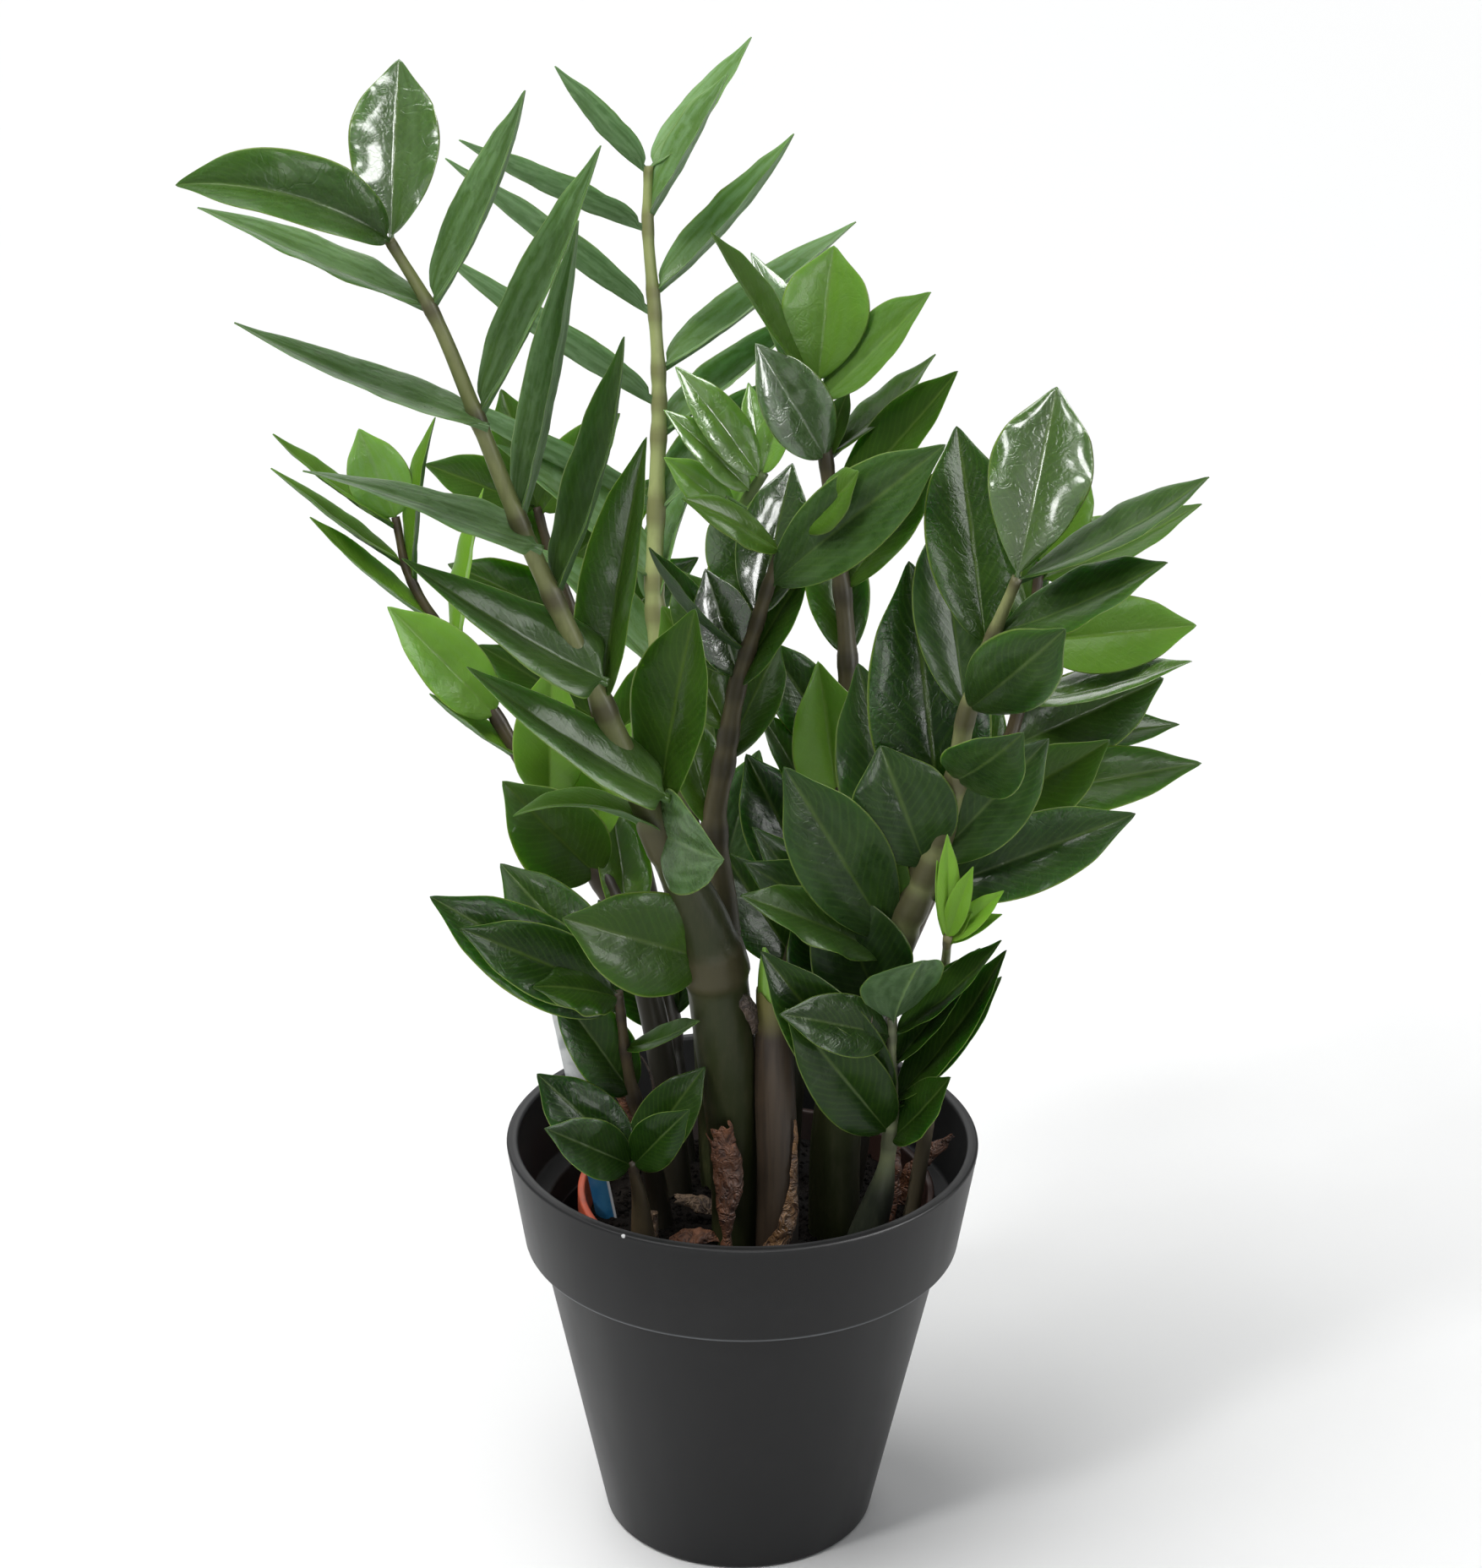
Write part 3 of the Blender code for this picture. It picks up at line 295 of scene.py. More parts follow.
# What each frond's leaflets and stem look like. tone runs from 0, deep green, to 1, the green of new leaves.
# The sheen share is how much of a blade is painted with pale sheen, a painted reflection of light. fold:
# degrees that each half of a blade is raised by. base: the lower, the nearer
# to its root a blade is widest. marks: by leaflet number, what sets that leaflet apart from the others of its
# frond. There, gloss runs from 0, satin, to 1, a wet shine; twist is in degrees; wave and curl are how far
# the margin ripples and turns up, and hook how far the tip bends down, as shares; and seat is how far the
# root is moved while the tip stays.
LOOKS = {
    "frond_left_tall": {
        "tone": 0.25, "painted_sheen": 0.38, "fold": 34, "stem": "olive", "base": 0.72,
        "marks": {
            0: {"fold": 15, "gloss": 1.0, "tone": 0.3, "painted_sheen": 0.15, "base": 1.1, "wave": 0.09, "twist": 0},
            1: {"fold": 38, "gloss": 0.6, "base": 0.85, "painted_sheen": 0.1}, 2: {"fold": 14, "base": 0.6},
            4: {"fold": 12, "seat": (4, -5, 0), "base": 0.55},
            6: {"fold": 8, "seat": (6, -6, -1), "base": 0.42},
            8: {"fold": 18, "seat": (8, -8, -2), "base": 0.4, "curl": -0.1, "painted_sheen": 0.1}, 9: {"painted_sheen": 0.1},
            10: {"fold": 18, "seat": (13, -10, -3), "base": 0.42, "curl": -0.1, "painted_sheen": 0.14},
            11: {"painted_sheen": 0.02}, 12: {"fold": 20, "tone": 0.35, "painted_sheen": 0.0},
            13: {"fold": 12, "base": 1.2, "gloss": 0.5, "painted_sheen": 0.0},
            14: {"fold": 4, "tone": 0.1, "base": 0.55, "gloss": 0.6, "painted_sheen": 0.3},
            15: {"fold": 12, "base": 0.8, "painted_sheen": 0.0},
        },
    },
    "frond_back_tall": {
        "tone": 0.5, "painted_sheen": 0.56, "fold": 34, "stem": "pale_olive", "base": 0.74,
        "marks": {1: {"tone": 0.55, "fold": 24}},
    },
    "frond_centre": {
        "tone": 0.12, "fold": 16, "stem": "purple_brown", "base": 0.92,
        "marks": {
            0: {"tone": 0.42, "curl": -0.25}, 1: {"tone": 0.42, "curl": -0.25},
            2: {"tone": 0.12, "gloss": 0.6, "painted_sheen": 0.1}, 4: {"gloss": 1.0}, 5: {"fold": 30, "hook": 0.0},
            8: {"gloss": 1.0}, 9: {"tone": 0.4}, 11: {"tone": 0.45},
        },
    },
    "frond_centre_back": {
        "tone": 0.22, "fold": 16, "stem": "purple_brown", "base": 0.9,
        "marks": {
            0: {"tone": 0.72, "gloss": 0.3, "base": 1.1, "painted_sheen": 0.1}, 1: {"tone": 0.5, "painted_sheen": 0.15},
            2: {"tone": 0.45}, 3: {"gloss": 1.0, "tone": 0.5, "painted_sheen": 0.7}, 4: {"gloss": 1.0, "painted_sheen": 0.3},
            10: {"tone": 0.9, "fold": 30}, 12: {"fold": 22}, 13: {"tone": 0.1}, 14: {"tone": 0.0},
            15: {"tone": 0.05},
        },
    },
    "frond_inner_young": {
        "tone": 0.92, "painted_sheen": 0.22, "fold": 16, "stem": "green",
        "marks": {0: {"gloss": 1.0}, 1: {"gloss": 0.8}, 3: {"gloss": 0.9}, 6: {"tone": 0.1, "gloss": 0.2}},
    },
    "frond_right": {
        "tone": 0.1, "painted_sheen": 0.05, "fold": 14, "stem": "olive", "base": 0.95,
        "marks": {
            0: {"gloss": 1.0, "tone": 0.33, "base": 1.2, "wave": 0.06, "twist": 0, "painted_sheen": 0.0},
            1: {"gloss": 0.6, "painted_sheen": 0.0}, 3: {"tone": 0.0, "base": 0.8, "gloss": 0.6, "painted_sheen": 0.0},
            7: {"curl": -0.3}, 11: {"base": 1.1, "tone": 0.0}, 12: {"base": 1.05, "tone": 0.05},
            13: {"tone": 0.3}, 15: {"wave": 0.1, "tone": 0.2}, 16: {"fold": 30},
            18: {"base": 0.65, "tone": 0.02, "seat": (3, -9, 0)},
        },
    },
    "frond_right_back": {
        "tone": 0.3, "fold": 16, "stem": "brown",
        "marks": {0: {"tone": 0.6}, 1: {"tone": 0.5}, 3: {"tone": 0.66}, 4: {"gloss": 0.8}},
    },
    "frond_front_right": {
        "tone": 0.06, "fold": 18, "stem": "grey_olive",
        "marks": {0: {"tone": 0.1, "painted_sheen": 0.2}},
    },
    "frond_young": {"tone": 0.95, "fold": 22, "stem": "pink_green", "marks": {}},
    "frond_lower_left": {
        "tone": 0.06, "fold": 14, "stem": "brown",
        "marks": {3: {"curl": -0.25, "wave": 0.1}},
    },
    "frond_left_back": {
        "tone": 0.65, "fold": 18, "stem": "brown",
        "marks": {
            0: {"tone": 0.9, "painted_sheen": 0.3}, 4: {"tone": 1.0, "painted_sheen": 0.1}, 6: {"tone": 0.3},
            8: {"tone": 0.95},
        },
    },
    "frond_back_left": {
        "tone": 0.3, "fold": 16, "stem": "brown",
        "marks": {9: {"tone": 0.05}, 10: {"tone": 0.05}},
    },
    "frond_low": {"tone": 0.04, "fold": 12, "stem": "brown", "marks": {}},
}

# Stem colours in linear light: at the soil, at the top, and in the bands at the joints. The colours at the
# soil add painted shade from the leaves above to the stems' own darker foot, and brown, which the back and
# low fronds take, is darkened by painted shade throughout.
STEM_COLOURS = {
    "olive": ((0.034, 0.042, 0.014), (0.25, 0.27, 0.11), (0.08, 0.07, 0.035)),
    "pale_olive": ((0.06, 0.07, 0.028), (0.44, 0.49, 0.2), (0.22, 0.22, 0.09)),
    "purple_brown": ((0.034, 0.036, 0.017), (0.11, 0.095, 0.048), (0.05, 0.042, 0.024)),
    "brown": ((0.035, 0.032, 0.02), (0.11, 0.085, 0.045), (0.045, 0.034, 0.024)),
    "green": ((0.06, 0.09, 0.03), (0.14, 0.24, 0.06), (0.10, 0.14, 0.05)),
    "grey_olive": ((0.023, 0.028, 0.018), (0.3, 0.34, 0.18), (0.075, 0.08, 0.05)),
    "pink_green": ((0.13, 0.11, 0.07), (0.28, 0.33, 0.12), (0.2, 0.16, 0.09)),
}

# A frond whose leaves are paler than this is handed young_leaf as its slot name, which dress does not use.
YOUNG_TONE = 0.7

# Dry tissues: pale colour, stained colour, and how fine their fibres are.
TISSUES = {
    "dry_scale": ((0.20, 0.075, 0.03), (0.055, 0.02, 0.011), 0.5),
    "dry_scrap": ((0.24, 0.15, 0.085), (0.06, 0.034, 0.022), 0.5),
    "dry_strip": ((0.24, 0.12, 0.04), (0.07, 0.03, 0.015), 0.8),
    "dry_curl": ((0.07, 0.045, 0.028), (0.03, 0.018, 0.012), 0.5),
}

# Dry scales: name, nodes replaced, tissue, centre line, widths along it, the way that the sheet faces,
# and how far each half of it rolls back.
SCALES = (
    ("scale_centre", ["dry_bract_centre"], "dry_scale",
     ((-6, -43, 138), (-6, -44, 152), (-6, -45, 166), (-5, -45, 182), (-9, -45, 202)),
     (9, 4, 9, 15, 12), (0.1, -1, 0.1), 60),
    ("scale_right", ["dry_bract_right"], "dry_scale",
     ((61, -10, 138), (62, -10, 155), (63, -11, 175), (65, -12, 190)), (6, 10, 9, 6), (0, -1, 0), 45),
    ("scale_edge", ["dry_bract_edge"], "dry_scale",
     ((67, 8, 138), (72, 9, 155), (80, 10, 164), (90, 9, 172)), (6, 8, 7, 2.5), (-0.3, -1, 0.4), 50),
    ("scale_low", ["dry_bract_low"], "dry_scrap",
     ((-9, -9, 140), (-10, -9, 147), (-18, -9, 150), (-28, -9, 152)), (3, 6, 9, 6), (0.2, -0.6, 1), 50),
    ("strip_shoot", [], "dry_strip",
     ((21.5, -41, 206), (22, -42, 192), (21.6, -43.5, 176), (19, -45, 160), (16, -46, 145)),
     (1, 2.5, 4, 8, 13), (0.5, -1, 0), 40),
    ("strip_left", [], "dry_scale",
     ((-47, -24, 186), (-46, -25, 196), (-50, -25, 208), (-51, -24, 214)), (3, 7, 6, 2), (0, -1, 0.2), 45),
    ("curl_shoot", [], "dry_curl",
     ((5, -42, 246), (4, -44, 254), (0, -44, 262), (-3, -43, 270)), (3, 6, 6, 1.5), (0.6, -1, 0), 60),
    ("scrap_soil", [], "dry_scale",
     ((-30, -32, 144), (-24, -33, 147), (-17, -33, 147), (-9, -32, 145)), (4, 9, 8, 4), (0, -0.6, 1), 50),
    ("scrap_hanging", [], "dry_scrap",
     ((51, -47, 262), (50.5, -48.5, 256), (51, -49, 250), (50, -49, 246)),
     (1, 2.2, 1.6, 0.8), (0, -1, 0), 30),
)
# The withered stalk beside the lower left frond: x, y, z and radius.
CURLED_STALK = (
    (-45.6, -24, 229, 0.4), (-42, -25, 226, 0.5), (-38.6, -26, 220, 0.6), (-36.6, -26, 211, 0.7),
    (-38, -25, 203, 0.8),
)

# Suns: name, the side that each shines from, the setting with its strength, and its width in degrees.
SUNS = (
    ("overhead", (-0.35, -0.02, 1.0), "key_strength", 50.0),
    ("side", (-0.65, -0.6, 0.85), "side_strength", 8.0),
    ("back", (-0.15, 0.9, 0.5), "back_strength", 45.0),
)
# The lamp over the plant: its place in metres.
NEAR_PLACE = (-0.25, -0.3, 1.3)
# Lamps that only shine back from waxy leaves: place in metres, width in metres, power in watts.
LAMPS = (
    ((0.55, -1.5, 0.92), 0.42, 9.0), ((0.0, -1.65, 0.5), 0.3, 4.5), ((0.03, -1.45, 1.16), 0.3, 4.5),
    ((1.25, -0.3, 1.3), 1.2, 60.0), ((1.3, -0.75, 0.36), 0.4, 9.0),
)


class Field:
    """A number or a vector on its way through a node tree, so that a formula reads as arithmetic."""

    def __init__(self, net, socket):
        self.net = net
        self.socket = socket
        self.is_vector = socket.type in ("VECTOR", "RGBA")

    def maths(self, operation, *others):
        terms = dict(enumerate((self, *others)))
        return self.net.field("ShaderNodeMath", terms, operation=operation)

    def vector(self, operation, *others, output=0):
        terms = dict(enumerate((self, *others)))
        return self.net.field("ShaderNodeVectorMath", terms, output, operation=operation)

    def scaled(self, factor):
        return self.net.field("ShaderNodeVectorMath", {0: self, "Scale": factor}, operation="SCALE")

    def arithmetic(self, operation, other):
        if self.is_vector or getattr(other, "is_vector", False):
            return self.vector(operation, other)
        return self.maths(operation, other)

    def __add__(self, other):
        return self.arithmetic("ADD", other)

    def __sub__(self, other):
        return self.arithmetic("SUBTRACT", other)

    def __rsub__(self, other):
        return (self * -1.0) + other

    def __mul__(self, other):
        if self.is_vector and getattr(other, "is_vector", False):
            return self.vector("MULTIPLY", other)
        if self.is_vector:
            return self.scaled(other)
        if getattr(other, "is_vector", False):
            return other.scaled(self)
        return self.maths("MULTIPLY", other)

    def __truediv__(self, other):
        return self.maths("DIVIDE", other)

    def __pow__(self, other):
        return self.maths("POWER", other)

    def sin(self):
        return self.maths("SINE")

    def cos(self):
        return self.maths("COSINE")

    def size(self):
        """A number without its sign, or a vector's length."""
        return self.vector("LENGTH", output=1) if self.is_vector else self.maths("ABSOLUTE")

    def above(self, least=0.0):
        return self.maths("MAXIMUM", least)

    def peak(self, width):
        """1 where the field is 0, falling to nothing over about twice the width."""
        ratio = self / width
        return (ratio * ratio * -1.0).maths("EXPONENT")

    def ramp(self, start, end):
        """0 at start and before it, 1 at end and after it."""
        limits = {"Value": self, "From Min": start, "From Max": end}
        return self.net.field("ShaderNodeMapRange", limits, interpolation_type="SMOOTHSTEP")


class Net:
    """A shader or geometry node tree under construction."""

    def __init__(self, tree):
        self.tree = tree

    def node(self, kind, inputs=None, **settings):
        made = self.tree.nodes.new(kind)
        for key, value in settings.items():
            setattr(made, key, value)
        for key, value in (inputs or {}).items():
            self.feed(made.inputs[key], value)
        return made

    def feed(self, socket, value):
        if isinstance(value, Field):
            value = value.socket
        if isinstance(value, bpy.types.NodeSocket):
            self.tree.links.new(value, socket)
        elif socket.type == "RGBA":
            socket.default_value = (*value, 1.0)
        else:
            socket.default_value = value

    def field(self, kind, inputs=None, output=0, **settings):
        return Field(self, self.node(kind, inputs, **settings).outputs[output])

    def mixed(self, share, first, second):
        """Two colours mixed by a share."""
        return self.field("ShaderNodeMix", {0: share, 6: first, 7: second}, 2, data_type="RGBA")

    def noise(self, where, scale, detail=3.0, roughness=0.5, distortion=0.0):
        return self.field("ShaderNodeTexNoise", {
            "Vector": where, "Scale": scale, "Detail": detail, "Roughness": roughness,
            "Distortion": distortion,
        })

    def stretched_noise(self, where, fineness, **look):
        """Noise of a different fineness along each axis."""
        return self.noise(self.field("ShaderNodeMapping", {0: where, "Scale": fineness}), 1.0, **look)

    def split(self, vector):
        """The x, y and z of a vector."""
        return [Field(self, socket) for socket in self.node("ShaderNodeSeparateXYZ", {0: vector}).outputs]


class Surface(Net):
    """A material with one Principled shader, and helpers for the patterns on it."""

    def __init__(self, name, **values):
        self.material = bpy.data.materials.new(name)
        self.material.use_nodes = True
        super().__init__(self.material.node_tree)
        self.shader = self.tree.nodes["Principled BSDF"]
        self.set(**values)

    def set(self, **values):
        """Values by socket name, with _ for a blank."""
        for key, value in values.items():
            self.feed(self.shader.inputs[key.replace("_", " ")], value)

    def place(self):
        return self.field("ShaderNodeTexCoord", output="Object")

    def attribute(self, name):
        return self.field("ShaderNodeAttribute", output="Fac", attribute_name=name)

    def bump(self, height, distance, strength):
        relief = {"Height": height, "Distance": distance, "Strength": strength}
        self.set(Normal=self.field("ShaderNodeBump", relief))


class Shape(Net):
    """A geometry node tree with named inputs, and helpers for its attributes."""

    KINDS = {float: "NodeSocketFloat", int: "NodeSocketInt"}

    def __init__(self, name, **inputs):
        super().__init__(bpy.data.node_groups.new(name, "GeometryNodeTree"))
        face = self.tree.interface
        face.new_socket("Geometry", in_out="INPUT", socket_type="NodeSocketGeometry")
        face.new_socket("Geometry", in_out="OUTPUT", socket_type="NodeSocketGeometry")
        self.sockets = {}
        for key, value in inputs.items():
            kind = self.KINDS.get(type(value), "NodeSocketMaterial")
            socket = face.new_socket(key.replace("_", " "), in_out="INPUT", socket_type=kind)
            if kind != "NodeSocketMaterial":
                socket.default_value = value
            self.sockets[key] = socket.identifier
        self.inputs = self.node("NodeGroupInput")
        self.outputs = self.node("NodeGroupOutput")

    def given(self, key):
        """A named input of the tree."""
        return Field(self, self.inputs.outputs[key.replace("_", " ")])

    def stored(self, name, vector=False):
        """A named attribute of the geometry."""
        kind = "FLOAT_VECTOR" if vector else "FLOAT"
        return self.field("GeometryNodeInputNamedAttribute", {"Name": name}, data_type=kind)

    def store(self, geometry, name, value):
        stored = {"Geometry": geometry, "Name": name, "Value": value}
        return self.node("GeometryNodeStoreNamedAttribute", stored,
                         data_type="FLOAT", domain="POINT").outputs[0]

    def apply_to(self, solid, **values):
        """Runs the tree on an object, with its inputs set, and leaves a plain mesh."""
        modifier = solid.modifiers.new(self.tree.name, "NODES")
        modifier.node_group = self.tree
        for key, value in values.items():
            modifier[self.sockets[key]] = value
        make_plain(solid)


def make_plain(solid):
    """Turns an object with a modifier into a plain mesh of the result."""
    graph = bpy.context.evaluated_depsgraph_get()
    made = bpy.data.meshes.new_from_object(solid.evaluated_get(graph))
    solid.modifiers.clear()
    old, solid.data = solid.data, made
    bpy.data.meshes.remove(old)


def new_object(name, points, faces=(), edges=()):
    """An object at the origin from points in millimetres."""
    mesh = bpy.data.meshes.new(name)
    mesh.from_pydata([tuple(np.array(point) * MM) for point in points], edges, faces)
    mesh.update()
    made = bpy.data.objects.new(name, mesh)
    bpy.context.scene.collection.objects.link(made)
    return made


def dress(piece, slot, nodes=(), material=None):
    """Gives a finished piece its material and its place in the part."""
    if material:
        piece.data.materials.clear()
        piece.data.materials.append(material)
    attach(piece, BODY)
    if nodes:
        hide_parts(*nodes)


def smooth_shaded(piece, angle):
    piece.data.shade_smooth()
    piece.data.set_sharp_from_angle(angle=math.radians(angle))
    return piece


def ring_faces(rings):
    """Faces between neighbouring rings of point numbers. A ring of one point closes an end."""
    faces = []
    for low, high in zip(rings, rings[1:]):
        for k in range(max(len(low), len(high))):
            corners = (low[k % len(low)], low[(k + 1) % len(low)],
                       high[(k + 1) % len(high)], high[k % len(high)])
            faces.append(tuple(dict.fromkeys(corners)))
    return faces


def grid_faces(rows, columns):
    """Faces between neighbouring rows of points."""
    corners = (row * columns + column for row in range(rows - 1) for column in range(columns - 1))
    return [(a, a + 1, a + 1 + columns, a + columns) for a in corners]


def turned(name, profile, sides, x=0.0):
    """A solid turned round an upright axis: profile rows are radius and height, from axis to axis."""
    points, rings = [], []
    for radius, height in profile:
        count = sides if radius else 1
        rings.append(list(range(len(points), len(points) + count)))
        for k in range(count):
            turn = 2 * math.pi * k / sides
            points.append((x + radius * math.cos(turn), radius * math.sin(turn), height))
    return new_object(name, points, ring_faces(rings))


def rounded(corners, radius, steps=6):
    """A profile in which an arc, that starts radius away, takes the place of each inner corner of a line."""
    profile = [corners[0]]
    for before, here, after in zip(corners, corners[1:], corners[2:]):
        here, before, after = np.array(here, float), np.array(before, float), np.array(after, float)
        reach = min(radius, 0.45 * np.linalg.norm(before - here), 0.45 * np.linalg.norm(after - here))
        start = here + (before - here) / np.linalg.norm(before - here) * reach
        end = here + (after - here) / np.linalg.norm(after - here) * reach
        for share in np.linspace(0, 1, steps):
            profile.append(tuple(start * (1 - share) ** 2 + here * 2 * share * (1 - share) + end * share**2))
    return profile + [corners[-1]]


def direction(clock, lean):
    """Unit vector at a clock angle from +X in the XZ plane, leaning towards the front."""
    clock, lean = math.radians(clock), math.radians(lean)
    return np.array((math.cos(clock) * math.cos(lean), -math.sin(lean), math.sin(clock) * math.cos(lean)))


def normal_at(along, face):
    """Upper normal of a blade: 0 looks to the front, 90 to the side that is nearer the sky."""
    front = np.array((0.0, -1.0, 0.0))
    front = front - along * np.dot(front, along)
    front /= np.linalg.norm(front)
    sky = np.cross(front, along)
    sky = sky if sky[2] >= 0 else -sky
    face = math.radians(face)
    return front * math.cos(face) + sky * math.sin(face)


def smooth_line(points, spacing):
    """A smooth curve through rows of x, y, z and radius, sampled evenly, with the distance at each sample."""
    rows = np.array(points, float)
    rows = np.vstack((2 * rows[0] - rows[1], rows, 2 * rows[-1] - rows[-2]))
    fine = []
    for a, b, c, d in zip(rows, rows[1:], rows[2:], rows[3:]):
        for t in np.linspace(0, 1, 16, endpoint=False):
            fine.append(0.5 * (2 * b + (c - a) * t + (2 * a - 5 * b + 4 * c - d) * t**2
                               + (3 * b - a - 3 * c + d) * t**3))
    fine.append(rows[-2])
    fine = np.array(fine)
    steps = np.linalg.norm(np.diff(fine[:, :3], axis=0), axis=1)
    distance = np.concatenate(((0.0,), np.cumsum(steps)))
    count = max(2, round(distance[-1] / spacing)) + 1
    samples = np.linspace(0, distance[-1], count)
    return np.stack([np.interp(samples, distance, column) for column in fine.T], 1), samples


class PlanterSettings(bpy.types.PropertyGroup):
    """Sizes and colours of the planter and of the growing pot in it."""

    height: FloatProperty(
        name="Height", description="Planter from the ground to its rim", default=PLANTER_HIGH.z,
        unit="LENGTH")
    rim_radius: FloatProperty(
        name="Rim radius", description="Planter's outer radius at its rim", default=PLANTER_HIGH.x,
        unit="LENGTH")
    sides: IntProperty(name="Sides", description="Faces round each turned pot", default=144, min=24)
    colour: FloatVectorProperty(
        name="Planter", description="Colour of the charcoal plastic", default=(0.0115, 0.0115, 0.012),
        subtype="COLOR")
    growing_pot: FloatVectorProperty(
        name="Growing pot", description="Colour of the growing pot", default=(0.56, 0.10, 0.045),
        subtype="COLOR")


class LeafSettings(bpy.types.PropertyGroup):
    """How fine the leaflets are and how they are coloured."""

    sides: IntProperty(
        name="Points across", description="Points round a leaflet's section", default=28, min=8)
    rings: IntProperty(
        name="Points along", description="Rows from a leaflet's root to its tip", default=40, min=8)
    margin: FloatProperty(
        name="Margin", description="Half the blade's thickness", default=0.00035, unit="LENGTH", precision=5)
    rib: FloatProperty(
        name="Rib", description="How far the midrib stands out underneath", default=0.001,
        unit="LENGTH", precision=5)
    stem_sides: IntProperty(name="Stem sides", description="Points round a stem", default=20, min=6)
    deep: FloatVectorProperty(
        name="Deep green", description="Upper face of a grown leaflet", default=(0.0052, 0.0225, 0.0028),
        subtype="COLOR")
    bright: FloatVectorProperty(
        name="New green", description="Upper face of a new leaflet", default=(0.21, 0.43, 0.04),
        subtype="COLOR")
    under: FloatVectorProperty(
        name="Underside", description="Lower face of a leaflet", default=(0.03, 0.06, 0.022), subtype="COLOR")
    # The colour of the painted pale sheen, which stands in for light glancing off the upper leaflets.
    painted_sheen_colour: FloatVectorProperty(
        name="Wax", description="Pale bloom on the upper leaflets", default=(0.24, 0.38, 0.19),
        subtype="COLOR")
    edge: FloatVectorProperty(
        name="Edge", description="Thin line along a leaflet's margin", default=(0.22, 0.34, 0.07),
        subtype="COLOR")


class SoilSettings(bpy.types.PropertyGroup):
    """The potting soil's crumbs."""

    crumbs: FloatProperty(name="Crumbs", description="Crumbs in a square metre of soil", default=110000.0)
    crumb_size: FloatProperty(
        name="Crumb size", description="Radius of a middling crumb", default=0.0014,
        unit="LENGTH", precision=5)
    seed: IntProperty(name="Seed", description="Seed of the crumbs' places", default=7)
    colour: FloatVectorProperty(
        name="Soil", description="Colour of damp soil", default=(0.007, 0.0052, 0.004), subtype="COLOR")


class StageSettings(bpy.types.PropertyGroup):
    """Camera, floor and lights."""

    focal: FloatProperty(
        name="Focal length", description="Lens for a 36 mm film, in millimetres", default=77.66)
    camera_place: FloatVectorProperty(
        name="Camera", description="Where the camera stands", default=(0.0, -1.2771, 0.846),
        subtype="TRANSLATION")
    pitch: FloatProperty(name="Pitch", description="Downward look", default=0.3789, subtype="ANGLE")
    roll: FloatProperty(
        name="Roll", description="Turn about the line of sight", default=0.0103, subtype="ANGLE")
    yaw: FloatProperty(name="Yaw", description="Turn to the left", default=0.0017, subtype="ANGLE")
    floor: FloatVectorProperty(
        name="Floor", description="Colour of the floor", default=(0.90, 0.90, 0.895), subtype="COLOR")
    key_strength: FloatProperty(name="Key light", description="Strength of the main light", default=2.1)
    side_strength: FloatProperty(
        name="Side light", description="Strength of the light with sharper shadows", default=0.6)
    back_strength: FloatProperty(
        name="Back light", description="Strength of the light from behind", default=0.55)
    sky_strength: FloatProperty(name="Sky", description="Strength of the light from all round", default=0.28)
    near_power: FloatProperty(name="Near lamp", description="Watts of the lamp over the plant", default=2.2)
    floor_radius: FloatProperty(
        name="Floor radius", description="Reach of the floor", default=6.0, unit="LENGTH")


def planter_plastic(colour):
    """Charcoal plastic with a fine moulded grain, faint upright streaks and patches of dust, with painted
    light on the rim's top and on the paler inside, and a painted highlight along the band's lower lip.
    """
    surface = Surface("charcoal_plastic", IOR=1.48, Specular_IOR_Level=0.22)
    place = surface.place()
    height = surface.split(place)[2]
    grain = surface.noise(place, 2600.0, detail=2.0)
    streaks = surface.stretched_noise(place, (60.0, 60.0, 2.0), detail=4.0)
    cloud = surface.noise(place, 14.0, detail=5.0, roughness=0.62)
    # Patches of dust, and painted light that pales the top 4 mm of the rim, which faces the sky.
    dust_and_rim_light = cloud.ramp(0.5, 0.75) * 0.5 + height.ramp(PLANTER_HIGH.z - 0.004, PLANTER_HIGH.z) * 0.5
    pale = tuple(channel * 1.8 + 0.008 for channel in colour)
    tint = surface.mixed(dust_and_rim_light * 0.35, tuple(colour), pale)
    radius = place.vector("MULTIPLY", (1.0, 1.0, 0.0)).size()
    wall = (height - BAND_FOOT * MM) * BAND_SLOPE + (BAND_RADIUS - 2.2) * MM
    # Painted light: the inside above the band's lower edge is paler, in patches.
    painted_inside_light = (wall - radius).ramp(0.0, 0.001) * height.ramp(0.1318, 0.1335)
    tint = surface.mixed(painted_inside_light * (cloud * 0.5 + 0.6), tint, (0.036, 0.036, 0.037))
    # A painted highlight: a pale line along the band's lower lip, broken up by the streaks.
    painted_lip_highlight = (height - (BAND_FOOT + 0.9) * MM).peak(0.0005) * (streaks * 0.6 + 0.3)
    tint = surface.mixed(painted_lip_highlight, tint, (0.16, 0.17, 0.18))
    speck = (place - RIM_SPECK).size().ramp(0.0011, 0.0006)
    surface.set(Base_Color=surface.mixed(speck, tint, (0.6, 0.6, 0.6)))
    surface.set(Roughness=streaks * 0.14 + cloud * 0.1 + 0.3)
    surface.bump(grain * 0.7 + streaks * 0.3, 0.00012, 0.35)
    return surface.material


